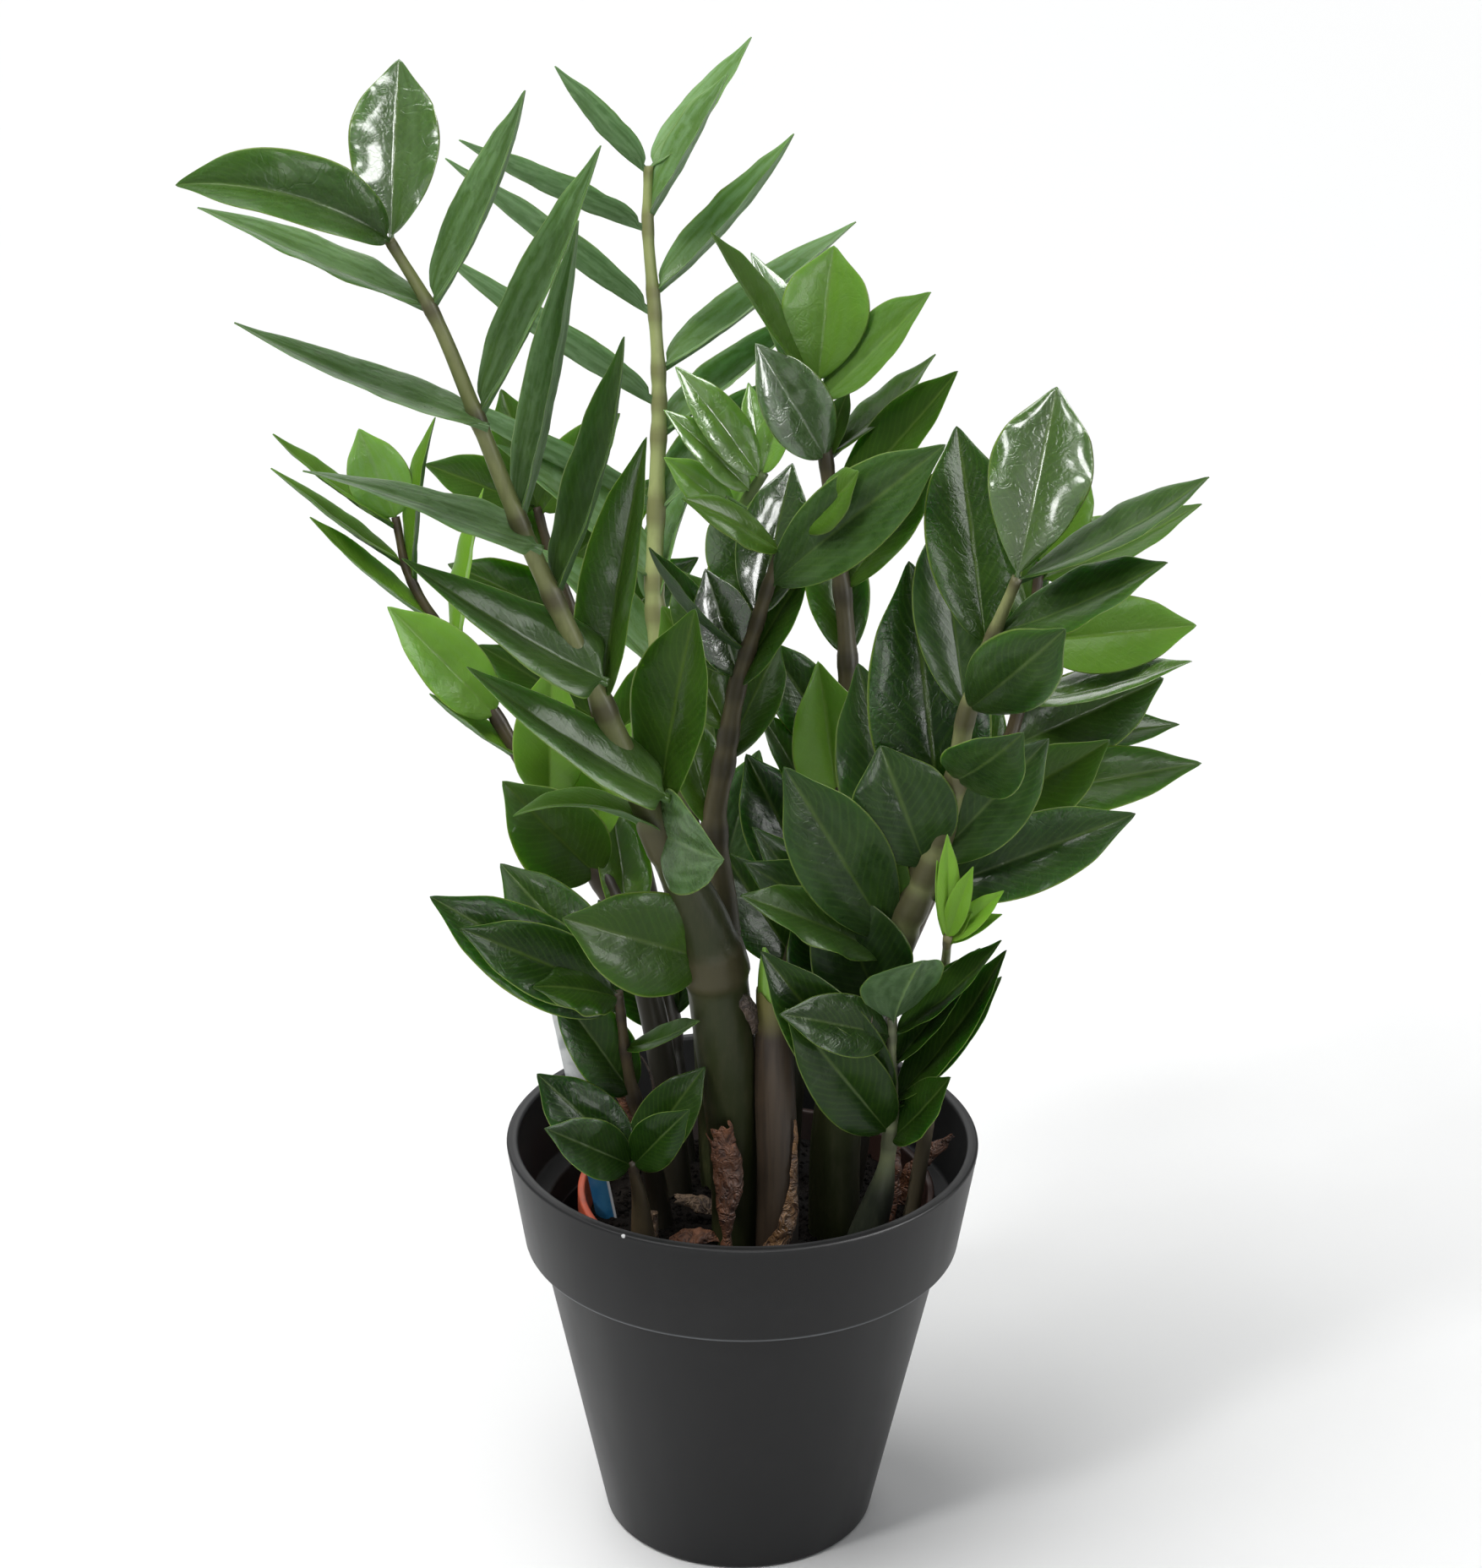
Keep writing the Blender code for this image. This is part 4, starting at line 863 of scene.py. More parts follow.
def growing_pot_plastic(colour):
    """Terracotta-coloured plastic, darker in patches, and darkened almost to black by painted shade
    everywhere but at its left edge.
    """
    surface = Surface("terracotta_plastic", Roughness=0.5)
    place = surface.place()
    cloud = surface.noise(place, 60.0, detail=5.0)
    dark = tuple(channel * 0.55 for channel in colour)
    # Painted shade: everywhere but at the pot's left edge its colour is darkened almost to black.
    painted_shade = surface.split(place)[0].ramp(-0.058, -0.04)
    tint = surface.mixed(cloud.ramp(0.45, 0.75), tuple(colour), dark)
    surface.set(Base_Color=surface.mixed(painted_shade * 0.95, tint, (0.02, 0.014, 0.011)))
    surface.bump(surface.noise(place, 900.0), 0.0001, 0.4)
    return surface.material


def leaf_surface(settings, name, polish):
    """Waxy leaf: deep or new green above, grey-green below, with midrib, side veins, a pale edge and streaks
    of painted pale sheen.

    polish runs from 0, satin, to 1, a wet shine.
    """
    surface = Surface(name, IOR=1.45, Specular_IOR_Level=0.14 + 0.36 * polish,
                      Coat_Weight=0.05 + 0.85 * polish, Coat_Roughness=0.07 + 0.04 * polish)
    place = surface.place()
    share, across, side, tone, gloss, painted_sheen = (
        surface.attribute(name) for name in ("share", "across", "side", "tone", "gloss", "painted_sheen"))
    below = side.ramp(0.12, -0.12)
    cloud = surface.noise(place, 55.0, detail=4.0)
    fleck = surface.noise(place, 420.0, detail=3.0, roughness=0.6)
    middle = across.size()
    vein_phase = (share * 17.0 - middle * 5.0 + cloud * 1.4) * (2 * math.pi)
    veins = (vein_phase.sin() * 0.5 + 0.5) ** 5.0 * middle.ramp(0.0, 0.15) * middle.ramp(1.0, 0.75)
    rib = (across * (1.25 - share)).peak(0.03)
    deep, bright = tuple(settings.deep), tuple(settings.bright)
    green = surface.mixed(tone.above() ** 1.5, deep, bright)
    shade = cloud.ramp(0.25, 0.75) * 0.4 + fleck * 0.25
    green = surface.mixed(shade, green, surface.mixed(tone * 0.65 + 0.12, deep, bright))
    green = surface.mixed(veins * 0.05, green, bright)
    green = surface.mixed(rib * 0.22, green, tuple(settings.edge))
    under = surface.mixed(tone * 0.55, tuple(settings.under), (0.17, 0.38, 0.08))
    under = surface.mixed(cloud.ramp(0.3, 0.8) * 0.3, under, surface.mixed(0.4, under, deep))
    under = surface.mixed(rib * 0.35, under, tuple(settings.edge))
    colour = surface.mixed(below, green, under)
    along = surface.field("ShaderNodeCombineXYZ", {0: share * 1.3, 1: across * 3.2, 2: cloud * 3.0})
    streak = surface.noise(along, 1.6, detail=4.0, roughness=0.5).ramp(0.3, 0.7)
    # Painted sheen: pale colour mixed in, in long streaks, by each leaflet's sheen share.
    colour = surface.mixed(painted_sheen * (streak + 0.42), colour, tuple(settings.painted_sheen_colour))
    edge = middle.ramp(0.95, 1.0) * share.ramp(0.03, 0.12)
    colour = surface.mixed(edge * 0.65, colour, tuple(settings.edge))
    surface.set(Base_Color=colour)
    surface.set(Roughness=below * 0.2 + fleck * 0.08 + cloud * 0.12 - gloss * 0.1 + 0.24)
    crinkle = surface.noise(place, 110.0, detail=4.0, roughness=0.55, distortion=0.5)
    crease = (surface.noise(place, 150.0, detail=2.0, distortion=0.9) - 0.5).size().ramp(0.0, 0.09)
    fine = surface.noise(place, 330.0, detail=2.0)
    relief = crinkle * 0.9 + crease * (gloss * 0.16 + 0.04) + fine * gloss * 0.22
    surface.bump(relief + veins * 0.05 + fleck * 0.15, 0.0007, 0.6)
    surface.set(Subsurface_Weight=0.2, Subsurface_Scale=0.002, Subsurface_Radius=(0.5, 1.0, 0.15))
    return surface.material


def stem_surface(name):
    """A stem: darker and mottled at the soil, partly its own colour and partly painted shade, paler above,
    with a dark band at each joint.
    """
    low, high, band = STEM_COLOURS[name]
    surface = Surface("stem_" + name, Specular_IOR_Level=0.2)
    place = surface.place()
    rise, collar = surface.attribute("rise"), surface.attribute("collar")
    mottle = surface.stretched_noise(place, (260.0, 260.0, 70.0), detail=4.0, roughness=0.6)
    blotch = surface.noise(place, 38.0, detail=3.0)
    colour = surface.mixed(rise.ramp(0.38, 0.6), low, high)
    colour = surface.mixed(mottle.ramp(0.42, 0.7) * 0.5, colour, surface.mixed(0.5, colour, band))
    colour = surface.mixed(blotch.ramp(0.5, 0.75) * 0.2, colour, band)
    colour = surface.mixed(collar * 0.8, colour, band)
    surface.set(Base_Color=colour)
    surface.set(Roughness=mottle * 0.25 + 0.3)
    surface.bump(mottle, 0.0004, 0.4)
    return surface.material


def papery_surface(name, pale, dark, fineness):
    """Dry papery tissue: pale ridges, dark stained hollows and long fibres."""
    surface = Surface(name, Roughness=0.6, Specular_IOR_Level=0.35)
    place = surface.place()
    fibres = surface.stretched_noise(place, (900.0 * fineness, 900.0 * fineness, 45.0))
    stain = surface.noise(place, 110.0, detail=5.0, roughness=0.66, distortion=0.8)
    ridge = (surface.noise(place, 190.0, detail=2.0, distortion=1.5) - 0.5).size().ramp(0.16, 0.0)
    colour = surface.mixed(stain.ramp(0.4, 0.62), pale, dark)
    colour = surface.mixed(ridge * 0.45, colour, tuple(min(1.0, channel * 1.7 + 0.04) for channel in pale))
    colour = surface.mixed(fibres.ramp(0.45, 0.7) * 0.4, colour, surface.mixed(0.6, colour, dark))
    surface.set(Base_Color=colour)
    surface.bump(fibres * 0.6 + stain * 0.8 + ridge * 0.7, 0.0011, 0.8)
    return surface.material


def sheath_surface():
    """The shoot's sheath: smooth purple-brown tissue, thin and yellowish at its upper edge."""
    surface = Surface("shoot_sheath", Roughness=0.5, Specular_IOR_Level=0.35)
    place = surface.place()
    height = surface.split(place)[2]
    streak = surface.stretched_noise(place, (380.0, 380.0, 22.0), detail=4.0)
    cloud = surface.noise(place, 45.0, detail=3.0)
    colour = surface.mixed(streak.ramp(0.35, 0.7) * 0.7, (0.07, 0.048, 0.03), (0.027, 0.019, 0.013))
    colour = surface.mixed(cloud.ramp(0.45, 0.8) * 0.5, colour, (0.085, 0.057, 0.032))
    colour = surface.mixed((height + cloud * 0.012).ramp(0.246, 0.262) * 0.8, colour, (0.20, 0.19, 0.05))
    colour = surface.mixed(height.ramp(0.17, 0.145) * 0.5, colour, (0.03, 0.018, 0.012))
    surface.set(Base_Color=colour)
    surface.bump(streak + cloud * 0.3, 0.0004, 0.5)
    return surface.material


def soil_surface(colour):
    """Damp, dull soil with paler clouds."""
    surface = Surface("potting_soil", Roughness=0.93, Specular_IOR_Level=0.1)
    place = surface.place()
    cloud = surface.noise(place, 130.0, detail=5.0, roughness=0.6)
    pale = tuple(channel * 2.2 + 0.002 for channel in colour)
    surface.set(Base_Color=surface.mixed(cloud.ramp(0.45, 0.75), tuple(colour), pale))
    surface.bump(surface.noise(place, 700.0, detail=4.0), 0.0008, 0.8)
    return surface.material


def label_surface():
    """Milky plastic above, blue below and at its very top, with a painted highlight along its right edge."""
    surface = Surface("label_plastic", Roughness=0.25)
    place = surface.place()
    height = surface.split(place)[2]
    haze = surface.noise(place, 90.0)
    film = surface.mixed(haze.ramp(0.4, 0.6), (0.50, 0.53, 0.54), (0.86, 0.88, 0.88))
    blue = surface.mixed(haze.ramp(0.4, 0.6) * 0.6, (0.025, 0.16, 0.34), (0.07, 0.26, 0.46))
    colour = surface.mixed(height.ramp((BLUE_TOP + 1) * MM, (BLUE_TOP - 1) * MM), film, blue)
    top = LABEL_TOP[2] * MM
    colour = surface.mixed(height.ramp(top - 0.006, top - 0.0045), colour, (0.10, 0.30, 0.42))
    # A painted highlight along the label's right edge.
    colour = surface.mixed(surface.attribute("painted_edge_highlight"), colour, (0.86, 0.88, 0.9))
    surface.set(Base_Color=colour)
    surface.bump(haze, 0.0002, 0.4)
    return surface.material


# What a leaflet's point carries: FORM_VALUES shape its blade and LOOK_VALUES colour it.
FORM_VALUES = ("length", "width", "turn", "fold", "twist", "wave", "curl", "stalk", "phase", "hook", "base")
LOOK_VALUES = ("tone", "gloss", "painted_sheen")
LEAF_ATTRIBUTES = LOOK_VALUES + ("position", "share", "across", "side", "rise", "collar")


def leaflet_branch(shape, plan):
    """Leaflets: a closed tube is placed on each plan point and pressed into a folded, bent blade."""
    template = shape.node("GeometryNodeMeshCylinder", {
        "Vertices": shape.given("Sides"), "Side Segments": shape.given("Rings"), "Radius": 1.0, "Depth": 1.0,
    })
    x, y, z = shape.split(shape.field("GeometryNodeInputPosition"))
    level = z + 0.5
    share = level * 0.6 + ((level * math.pi).cos() * -0.5 + 0.5) * 0.4
    geometry = shape.store(template.outputs[0], "share", share)
    geometry = shape.store(geometry, "across", x.maths("SIGN") * x.size() ** 1.8)
    geometry = shape.store(geometry, "side", y)
    placed = shape.node("GeometryNodeInstanceOnPoints", {"Points": plan, "Instance": geometry})
    joined = shape.node("GeometryNodeRealizeInstances", {"Geometry": placed.outputs[0]})

    share, across, side = (shape.stored(name) for name in ("share", "across", "side"))
    root, along, up = (shape.stored(name, vector=True) for name in ("root", "along", "up"))
    length, width, turn, fold, twist, wave, curl, stalk, phase, hook, base = (
        shape.stored(name) for name in FORM_VALUES)
    beside = up.vector("CROSS_PRODUCT", along)
    blade = ((share - shape.given("Stalk_share")) / (1.0 - shape.given("Stalk_share"))).above()
    form = (((blade ** base) * math.pi).sin().above() ** 0.72) * (1.0 - blade.ramp(0.74, 1.0) * 0.38)
    near_root = (1.0 - share) ** 7.0
    half = form * width * 0.5 + stalk * near_root + 0.00018
    angle = turn * (0.5 - share)
    half_turn = turn * 0.5
    chord = length / (half_turn.sin() * 2.0)
    centre = root + along * (chord * (half_turn.sin() - angle.sin()))
    centre = centre + up * (chord * (angle.cos() - half_turn.cos()))
    normal = up * angle.cos() - along * angle.sin()
    centre = centre - normal * (hook * length * blade ** 4.0)
    spin = twist * (blade - 0.25)
    flat = beside * spin.cos() + normal * spin.sin()
    normal = normal * spin.cos() - beside * spin.sin()
    middle = across.size()
    soft = (across * across + 0.0025).maths("SQRT") - 0.05
    ripple = (share * 21.0 + phase + across * 1.1).sin() * wave
    crown = middle * (1.0 - middle) * 0.22
    lift = fold.sin() * soft + crown + (ripple + curl) * across ** 4.0
    swell_place = shape.field("ShaderNodeCombineXYZ", {0: share * length, 1: across * half, 2: phase * 0.01})
    swell = shape.noise(swell_place, 70.0, detail=2.0) - 0.5
    ridge = (across * half).peak(0.0011) * (1.0 - share)
    thickness = shape.given("Margin") + stalk * near_root * 0.6
    surface = side * thickness - ridge * (side * -1.0).above() * shape.given("Rib")
    surface = surface - ridge * side.above() * 0.0003
    vein = (share * 11.0 * (2 * math.pi) - middle * 4.0 * (2 * math.pi) + phase).sin()
    vein = vein * middle * (1.0 - middle) * 0.00005
    rise = lift * half + (swell * 0.0022 + vein) * form + surface
    position = centre + flat * (across * half * fold.cos()) + normal * rise
    moved = shape.node("GeometryNodeSetPosition", {"Geometry": joined.outputs[0], "Position": position})
    smooth = shape.node("GeometryNodeSetShadeSmooth", {"Geometry": moved.outputs[0]})
    waxed = shape.node("GeometryNodeSetMaterial", {0: smooth.outputs[0], "Material": shape.given("Leaf")})
    wet = shape.stored("gloss").maths("GREATER_THAN", 0.75)
    return shape.node("GeometryNodeSetMaterial", {
        0: waxed.outputs[0], "Selection": wet, "Material": shape.given("Glossy_leaf")}).outputs[0]


def stem_branch(shape, line, plan):
    """The stem: a round bar along the line, swollen at each joint, where its collar darkens."""
    curve = shape.node("GeometryNodeMeshToCurve", {"Mesh": line}).outputs[0]
    spacing = {"Curve": curve, "Length": STEM_SPACING}
    curve = shape.node("GeometryNodeResampleCurve", spacing, mode="LENGTH").outputs[0]
    near = shape.node("GeometryNodeProximity", {0: plan}, target_element="POINTS").outputs["Distance"]
    radius = shape.stored("radius")
    collar = (Field(shape, near) - radius * 0.4).above().peak(0.0035)
    rise = Field(shape, shape.node("GeometryNodeSplineParameter").outputs["Factor"])
    curve = shape.store(curve, "collar", collar)
    curve = shape.store(curve, "rise", rise)
    ring = shape.node("GeometryNodeCurvePrimitiveCircle", {
        "Resolution": shape.given("Stem_sides"), "Radius": 1.0,
    })
    wobble = shape.noise(shape.field("GeometryNodeInputPosition"), 45.0, detail=2.0) - 0.5
    scale = radius * (collar * 0.16 + wobble * 0.06 + 0.97)
    bar = shape.node("GeometryNodeCurveToMesh", {
        "Curve": curve, "Profile Curve": ring.outputs[0], "Scale": scale, "Fill Caps": True,
    })
    smooth = shape.node("GeometryNodeSetShadeSmooth", {"Geometry": bar.outputs[0]})
    return shape.node("GeometryNodeSetMaterial", {
        0: smooth.outputs[0], "Material": shape.given("Stem")}).outputs[0]


def frond_shape(values):
    """Geometry nodes that grow a frond from its plan: a line for the stem and a point for each leaflet."""
    shape = Shape("frond", Stalk_share=0.05, Stem=None, **values)
    plan = shape.inputs.outputs[0]
    is_leaf = shape.stored("is_leaf").maths("GREATER_THAN", 0.5)
    split = shape.node("GeometryNodeSeparateGeometry", {0: plan, "Selection": is_leaf}, domain="POINT")
    leaflets = leaflet_branch(shape, split.outputs["Selection"])
    stem = stem_branch(shape, split.outputs["Inverted"], split.outputs["Selection"])
    both = shape.node("GeometryNodeJoinGeometry")
    shape.tree.links.new(leaflets, both.inputs[0])
    shape.tree.links.new(stem, both.inputs[0])
    shape.tree.links.new(both.outputs[0], shape.outputs.inputs[0])
    return shape


def stem_line(rows):
    """The stem's line, led down from the soil's top to a foot that draws in towards the pot's axis."""
    x, y, _, radius = rows[0]
    axis = (NURSERY_LOW.x + NURSERY_HIGH.x) / 2 / MM
    foot = (axis + (x - axis) * 0.93, y * 0.93, STEM_FOOT, radius * 0.9)
    return smooth_line((foot,) + tuple(rows), 4.0)


def frond_plan(name, frond, look, draw):
    """A mesh with the stem's line and a point for each leaflet, which carries that leaflet's values."""
    line, distance = stem_line(frond["stem"])
    points = [row[:3] for row in line]
    edges = [(k, k + 1) for k in range(len(line) - 1)]
    columns = {key: [0.0] * len(line) for key in FORM_VALUES + LOOK_VALUES}
    columns["radius"] = list(line[:, 3] * MM)
    vectors = {key: [(0.0, 0.0, 0.0)] * len(line) for key in ("root", "along", "up")}
    for number, (down, clock, lean, length, width, face, bend) in enumerate(frond["leaflets"]):
        mark = look["marks"].get(number, {})
        at = distance[-1] - max(down, 1.5)
        root = np.array([np.interp(at, distance, line[:, k]) for k in range(3)])
        radius = np.interp(at, distance, line[:, 3])
        along = direction(clock, lean)
        if "seat" in mark:
            reach = along * length - np.array(mark["seat"])
            root = root + np.array(mark["seat"])
            length = np.linalg.norm(reach)
            along = reach / length
        values = {
            "length": length * MM,
            "width": width * MM,
            "turn": math.radians(bend),
            "fold": math.radians(mark.get("fold", look["fold"]) + draw.uniform(-3, 3)),
            "twist": math.radians(mark.get("twist", draw.uniform(-12, 12))),
            "wave": mark.get("wave", draw.uniform(0.0, 0.035)),
            "curl": mark.get("curl", draw.uniform(-0.06, 0.05)),
            "stalk": min(0.55 * radius, 2.1) * MM,
            "phase": draw.uniform(0, 6.28),
            "hook": mark.get("hook", draw.uniform(-0.02, 0.03)),
            "base": mark.get("base", look.get("base", 0.82)),
            "tone": mark.get("tone", look["tone"] + draw.uniform(-0.07, 0.07)),
            "gloss": mark.get("gloss", draw.uniform(0.1, 0.5)),
            "painted_sheen": mark.get("painted_sheen", look.get("painted_sheen", 0.0)),
            "radius": radius * MM,
        }
        for key, value in values.items():
            columns[key].append(value)
        for key, value in (("root", root * MM), ("along", along), ("up", normal_at(along, face))):
            vectors[key].append(value)
        points.append(root)
    columns["is_leaf"] = [0.0] * len(line) + [1.0] * len(frond["leaflets"])
    plan = new_object(name, points, edges=edges)
    for key, values in columns.items():
        plan.data.attributes.new(key, "FLOAT", "POINT").data.foreach_set("value", values)
    for key, values in vectors.items():
        plan.data.attributes.new(key, "FLOAT_VECTOR", "POINT").data.foreach_set("vector", np.ravel(values))
    return plan


def keep_attributes(piece, names):
    """Leaves only the named attributes, and those that every mesh needs."""
    for name in [a.name for a in piece.data.attributes if not a.is_internal and not a.is_required]:
        if name not in (*names, "sharp_face", "material_index"):
            piece.data.attributes.remove(piece.data.attributes[name])


def thickened(sheet, thickness):
    """Gives an open sheet a thickness in millimetres, half of it on each side."""
    modifier = sheet.modifiers.new("thickness", "SOLIDIFY")
    modifier.thickness = thickness * MM
    modifier.offset = 0.0
    make_plain(sheet)
    return smooth_shaded(sheet, 60)


def crumpled_sheet(name, line, widths, front, roll, seed):
    """A dry scale: a sheet along a line, rolled round it, crumpled and ragged at its top."""
    rows, columns = 44, 18
    line = np.array(line, float)
    samples = np.linspace(0, 1, len(line))
    shares = np.linspace(0, 1, rows)
    centres = np.stack([np.interp(shares, samples, column) for column in line.T], 1)
    half = np.interp(shares, np.linspace(0, 1, len(widths)), widths) / 2
    ahead = np.gradient(centres, axis=0)
    points = []
    for row in range(rows):
        way = ahead[row] / np.linalg.norm(ahead[row])
        normal = np.array(front, float) - way * np.dot(front, way)
        normal /= np.linalg.norm(normal)
        beside = np.cross(way, normal)
        for column in range(columns):
            across = 2 * column / (columns - 1) - 1
            bow = math.radians(roll) * (0.6 + 0.4 * shares[row])
            reach = half[row] / max(bow, 0.05)
            point = centres[row] + beside * math.sin(across * bow) * reach
            point = point + normal * (math.cos(across * bow) - 1) * reach
            ragged = noise.noise(Vector((across * 2.4, seed, 0.3))) * half[row] * 0.9 * shares[row] ** 6
            point = point + way * ragged
            where = Vector(point * 0.11) + Vector((seed, 0, 0))
            shift = noise.noise_vector(where) * 2.6 + noise.noise_vector(where * 2.7) * 1.3
            points.append(point + np.array(shift) * (0.25 + 0.75 * shares[row]))
    return thickened(new_object(name, points, grid_faces(rows, columns)), 0.4)


class ZZ_OT_planter(bpy.types.Operator):
    """Build the charcoal planter with its band, rounded rim and inner ledge"""

    bl_idname = "zz_plant.planter"
    bl_label = "Planter"

    def execute(self, context):
        settings = context.scene.zz_planter
        height, rim = settings.height / MM, settings.rim_radius / MM
        ring = FOOT_RADIUS - BASE_RING
        corners = [
            (0, 0.9), (ring - 1, 0.9), (ring, 0), (FOOT_RADIUS, 0), (BODY_RADIUS, BAND_FOOT),
            (BAND_RADIUS, BAND_FOOT), (rim, height), (rim - 5, height),
            (BAND_RADIUS - 1.4, LEDGE), (BODY_RADIUS - 3, LEDGE - 1.5), (FOOT_RADIUS - 3, 4), (0, 4),
        ]
        piece = turned("outer_pot_shell", rounded(corners, PLANTER_EDGE), settings.sides)
        smooth_shaded(piece, 40)
        dress(piece, "charcoal_plastic", ["outer_pot"], planter_plastic(settings.colour))
        return {"FINISHED"}


class ZZ_OT_growing_pot(bpy.types.Operator):
    """Build the terracotta-coloured growing pot with its lip"""

    bl_idname = "zz_plant.growing_pot"
    bl_label = "Growing pot"

    def execute(self, context):
        settings = context.scene.zz_planter
        axis = (NURSERY_LOW.x + NURSERY_HIGH.x) / 2 / MM
        foot, top = NURSERY_LOW.z / MM, NURSERY_HIGH.z / MM
        rim = (NURSERY_HIGH.x - NURSERY_LOW.x) / 2 / MM
        corners = [
            (0, foot), (POT_FOOT, foot), (rim - POT_LIP - 1.5, top - POT_LIP_DEPTH),
            (rim, top - POT_LIP_DEPTH), (rim, top), (rim - POT_LIP - POT_WALL, top),
            (POT_FOOT - POT_WALL, foot + POT_WALL), (0, foot + POT_WALL),
        ]
        piece = turned("growing_pot_shell", rounded(corners, 1.1), settings.sides, axis)
        smooth_shaded(piece, 40)
        dress(piece, "terracotta_plastic", ["nursery_pot"], growing_pot_plastic(settings.growing_pot))
        return {"FINISHED"}


class ZZ_OT_soil(bpy.types.Operator):
    """Build the soil with its lumpy top, and scatter crumbs over it"""

    bl_idname = "zz_plant.soil"
    bl_label = "Soil"

    def execute(self, context):
        settings = context.scene.zz_soil
        axis = (SOIL_LOW.x + SOIL_HIGH.x) / 2 / MM
        edge = (SOIL_HIGH.x - SOIL_LOW.x) / 2 / MM
        low = SOIL_LOW.z / MM
        profile = [(0, low), (SOIL_FOOT, low), (edge, SOIL_TOP)]
        profile += [(edge * share, SOIL_TOP) for share in np.linspace(0.98, 0.02, 48)] + [(0, SOIL_TOP)]
        piece = turned("soil_bed", profile, 160, axis)
        for vertex in piece.data.vertices:
            if vertex.co.z > (SOIL_TOP - 0.5) * MM:
                where = vertex.co / MM
                lump = noise.noise(Vector((where.x, where.y, 3)) * 0.06) * 1.6
                lump += noise.noise(Vector((where.x, where.y, 9)) * 0.25) * 0.9
                vertex.co.z += lump * MM
        piece.data.shade_smooth()
        material = soil_surface(settings.colour)
        values = {"Crumbs": settings.crumbs, "Crumb_size": settings.crumb_size, "Seed": settings.seed,
                  "Soil": material}
        soil_shape(values).apply_to(piece, **values)
        dress(piece, "potting_soil", ["soil"], material)
        return {"FINISHED"}


def soil_shape(values):
    """Geometry nodes that strew crumbs over the level part of the soil."""
    shape = Shape("soil_crumbs", **values)
    bed = shape.inputs.outputs[0]
    height = shape.split(shape.field("GeometryNodeInputPosition"))[2]
    level = height.maths("GREATER_THAN", (SOIL_TOP - 4) * MM)
    strewn = shape.node("GeometryNodeDistributePointsOnFaces", {
        "Mesh": bed, "Selection": level, "Density": shape.given("Crumbs"), "Seed": shape.given("Seed"),
    })
    crumb = shape.node("GeometryNodeMeshIcoSphere", {"Radius": 1.0, "Subdivisions": 1})
    size, turn = (
        shape.field("FunctionNodeRandomValue", {0: least, 1: most, "Seed": seed}, data_type="FLOAT_VECTOR")
        for least, most, seed in (((0.35, 0.35, 0.3), (1.5, 1.3, 1.1), 3), ((0.0,) * 3, (6.28,) * 3, 4)))
    placed = shape.node("GeometryNodeInstanceOnPoints", {
        "Points": strewn.outputs[0], "Instance": crumb.outputs[0], "Scale": size * shape.given("Crumb_size"),
        "Rotation": shape.field("FunctionNodeEulerToRotation", {0: turn}),
    })
    joined = shape.node("GeometryNodeRealizeInstances", {"Geometry": placed.outputs[0]})
    both = shape.node("GeometryNodeJoinGeometry")
    shape.tree.links.new(bed, both.inputs[0])
    shape.tree.links.new(joined.outputs[0], both.inputs[0])
    done = shape.node("GeometryNodeSetMaterial", {0: both.outputs[0], "Material": shape.given("Soil")})
    shape.tree.links.new(done.outputs[0], shape.outputs.inputs[0])
    return shape


class ZZ_OT_label(bpy.types.Operator):
    """Build the blank plastic label that leans in the soil"""

    bl_idname = "zz_plant.label"
    bl_label = "Label"

    def execute(self, context):
        foot, way = np.array(LABEL_FOOT), np.array(LABEL_TOP) - LABEL_FOOT
        beside = np.cross((0.0, 1.0, 0.0), way)
        beside /= np.linalg.norm(beside)
        front = np.cross(way / np.linalg.norm(way), beside)
        points, edges = [], []
        rows, columns = 41, 15
        for layer in (-1, 1):
            for share in np.linspace(0, 1, rows):
                narrow = min(1.0, 0.25 + share * 7) * (1 - 0.35 * max(0.0, share - 0.96) / 0.04)
                for across in np.linspace(-1, 1, columns):
                    bow = math.sin(share * math.pi) * 1.2 + 0.7 * across**2
                    centre = foot + way * share + beside * across * LABEL_WIDTH / 2 * narrow
                    points.append(centre + front * (layer * LABEL_THICKNESS / 2 + bow - 0.7))
                    edges.append(1.0 if across > 0.8 else 0.0)
        layer_size = rows * columns
        faces = []
        for quad in grid_faces(rows, columns):
            faces += [quad, tuple(k + layer_size for k in reversed(quad))]
        rim = list(range(columns))
        rim += [row * columns + columns - 1 for row in range(1, rows)]
        rim += [(rows - 1) * columns + k for k in range(columns - 2, -1, -1)]
        rim += [row * columns for row in range(rows - 2, 0, -1)]
        for a, b in zip(rim, rim[1:] + rim[:1]):
            faces.append((b, a, a + layer_size, b + layer_size))
        piece = new_object("label_strip", points, faces)
        # The points along the right edge carry the painted highlight.
        piece.data.attributes.new("painted_edge_highlight", "FLOAT", "POINT").data.foreach_set("value", edges)
        face_outwards(piece)
        smooth_shaded(piece, 40)
        dress(piece, "label_plastic", ["plant_label"], label_surface())
        return {"FINISHED"}


def face_outwards(piece):
    """Turns a closed mesh's faces outwards."""
    shape = bmesh.new()
    shape.from_mesh(piece.data)
    bmesh.ops.recalc_face_normals(shape, faces=shape.faces)
    shape.to_mesh(piece.data)
    shape.free()


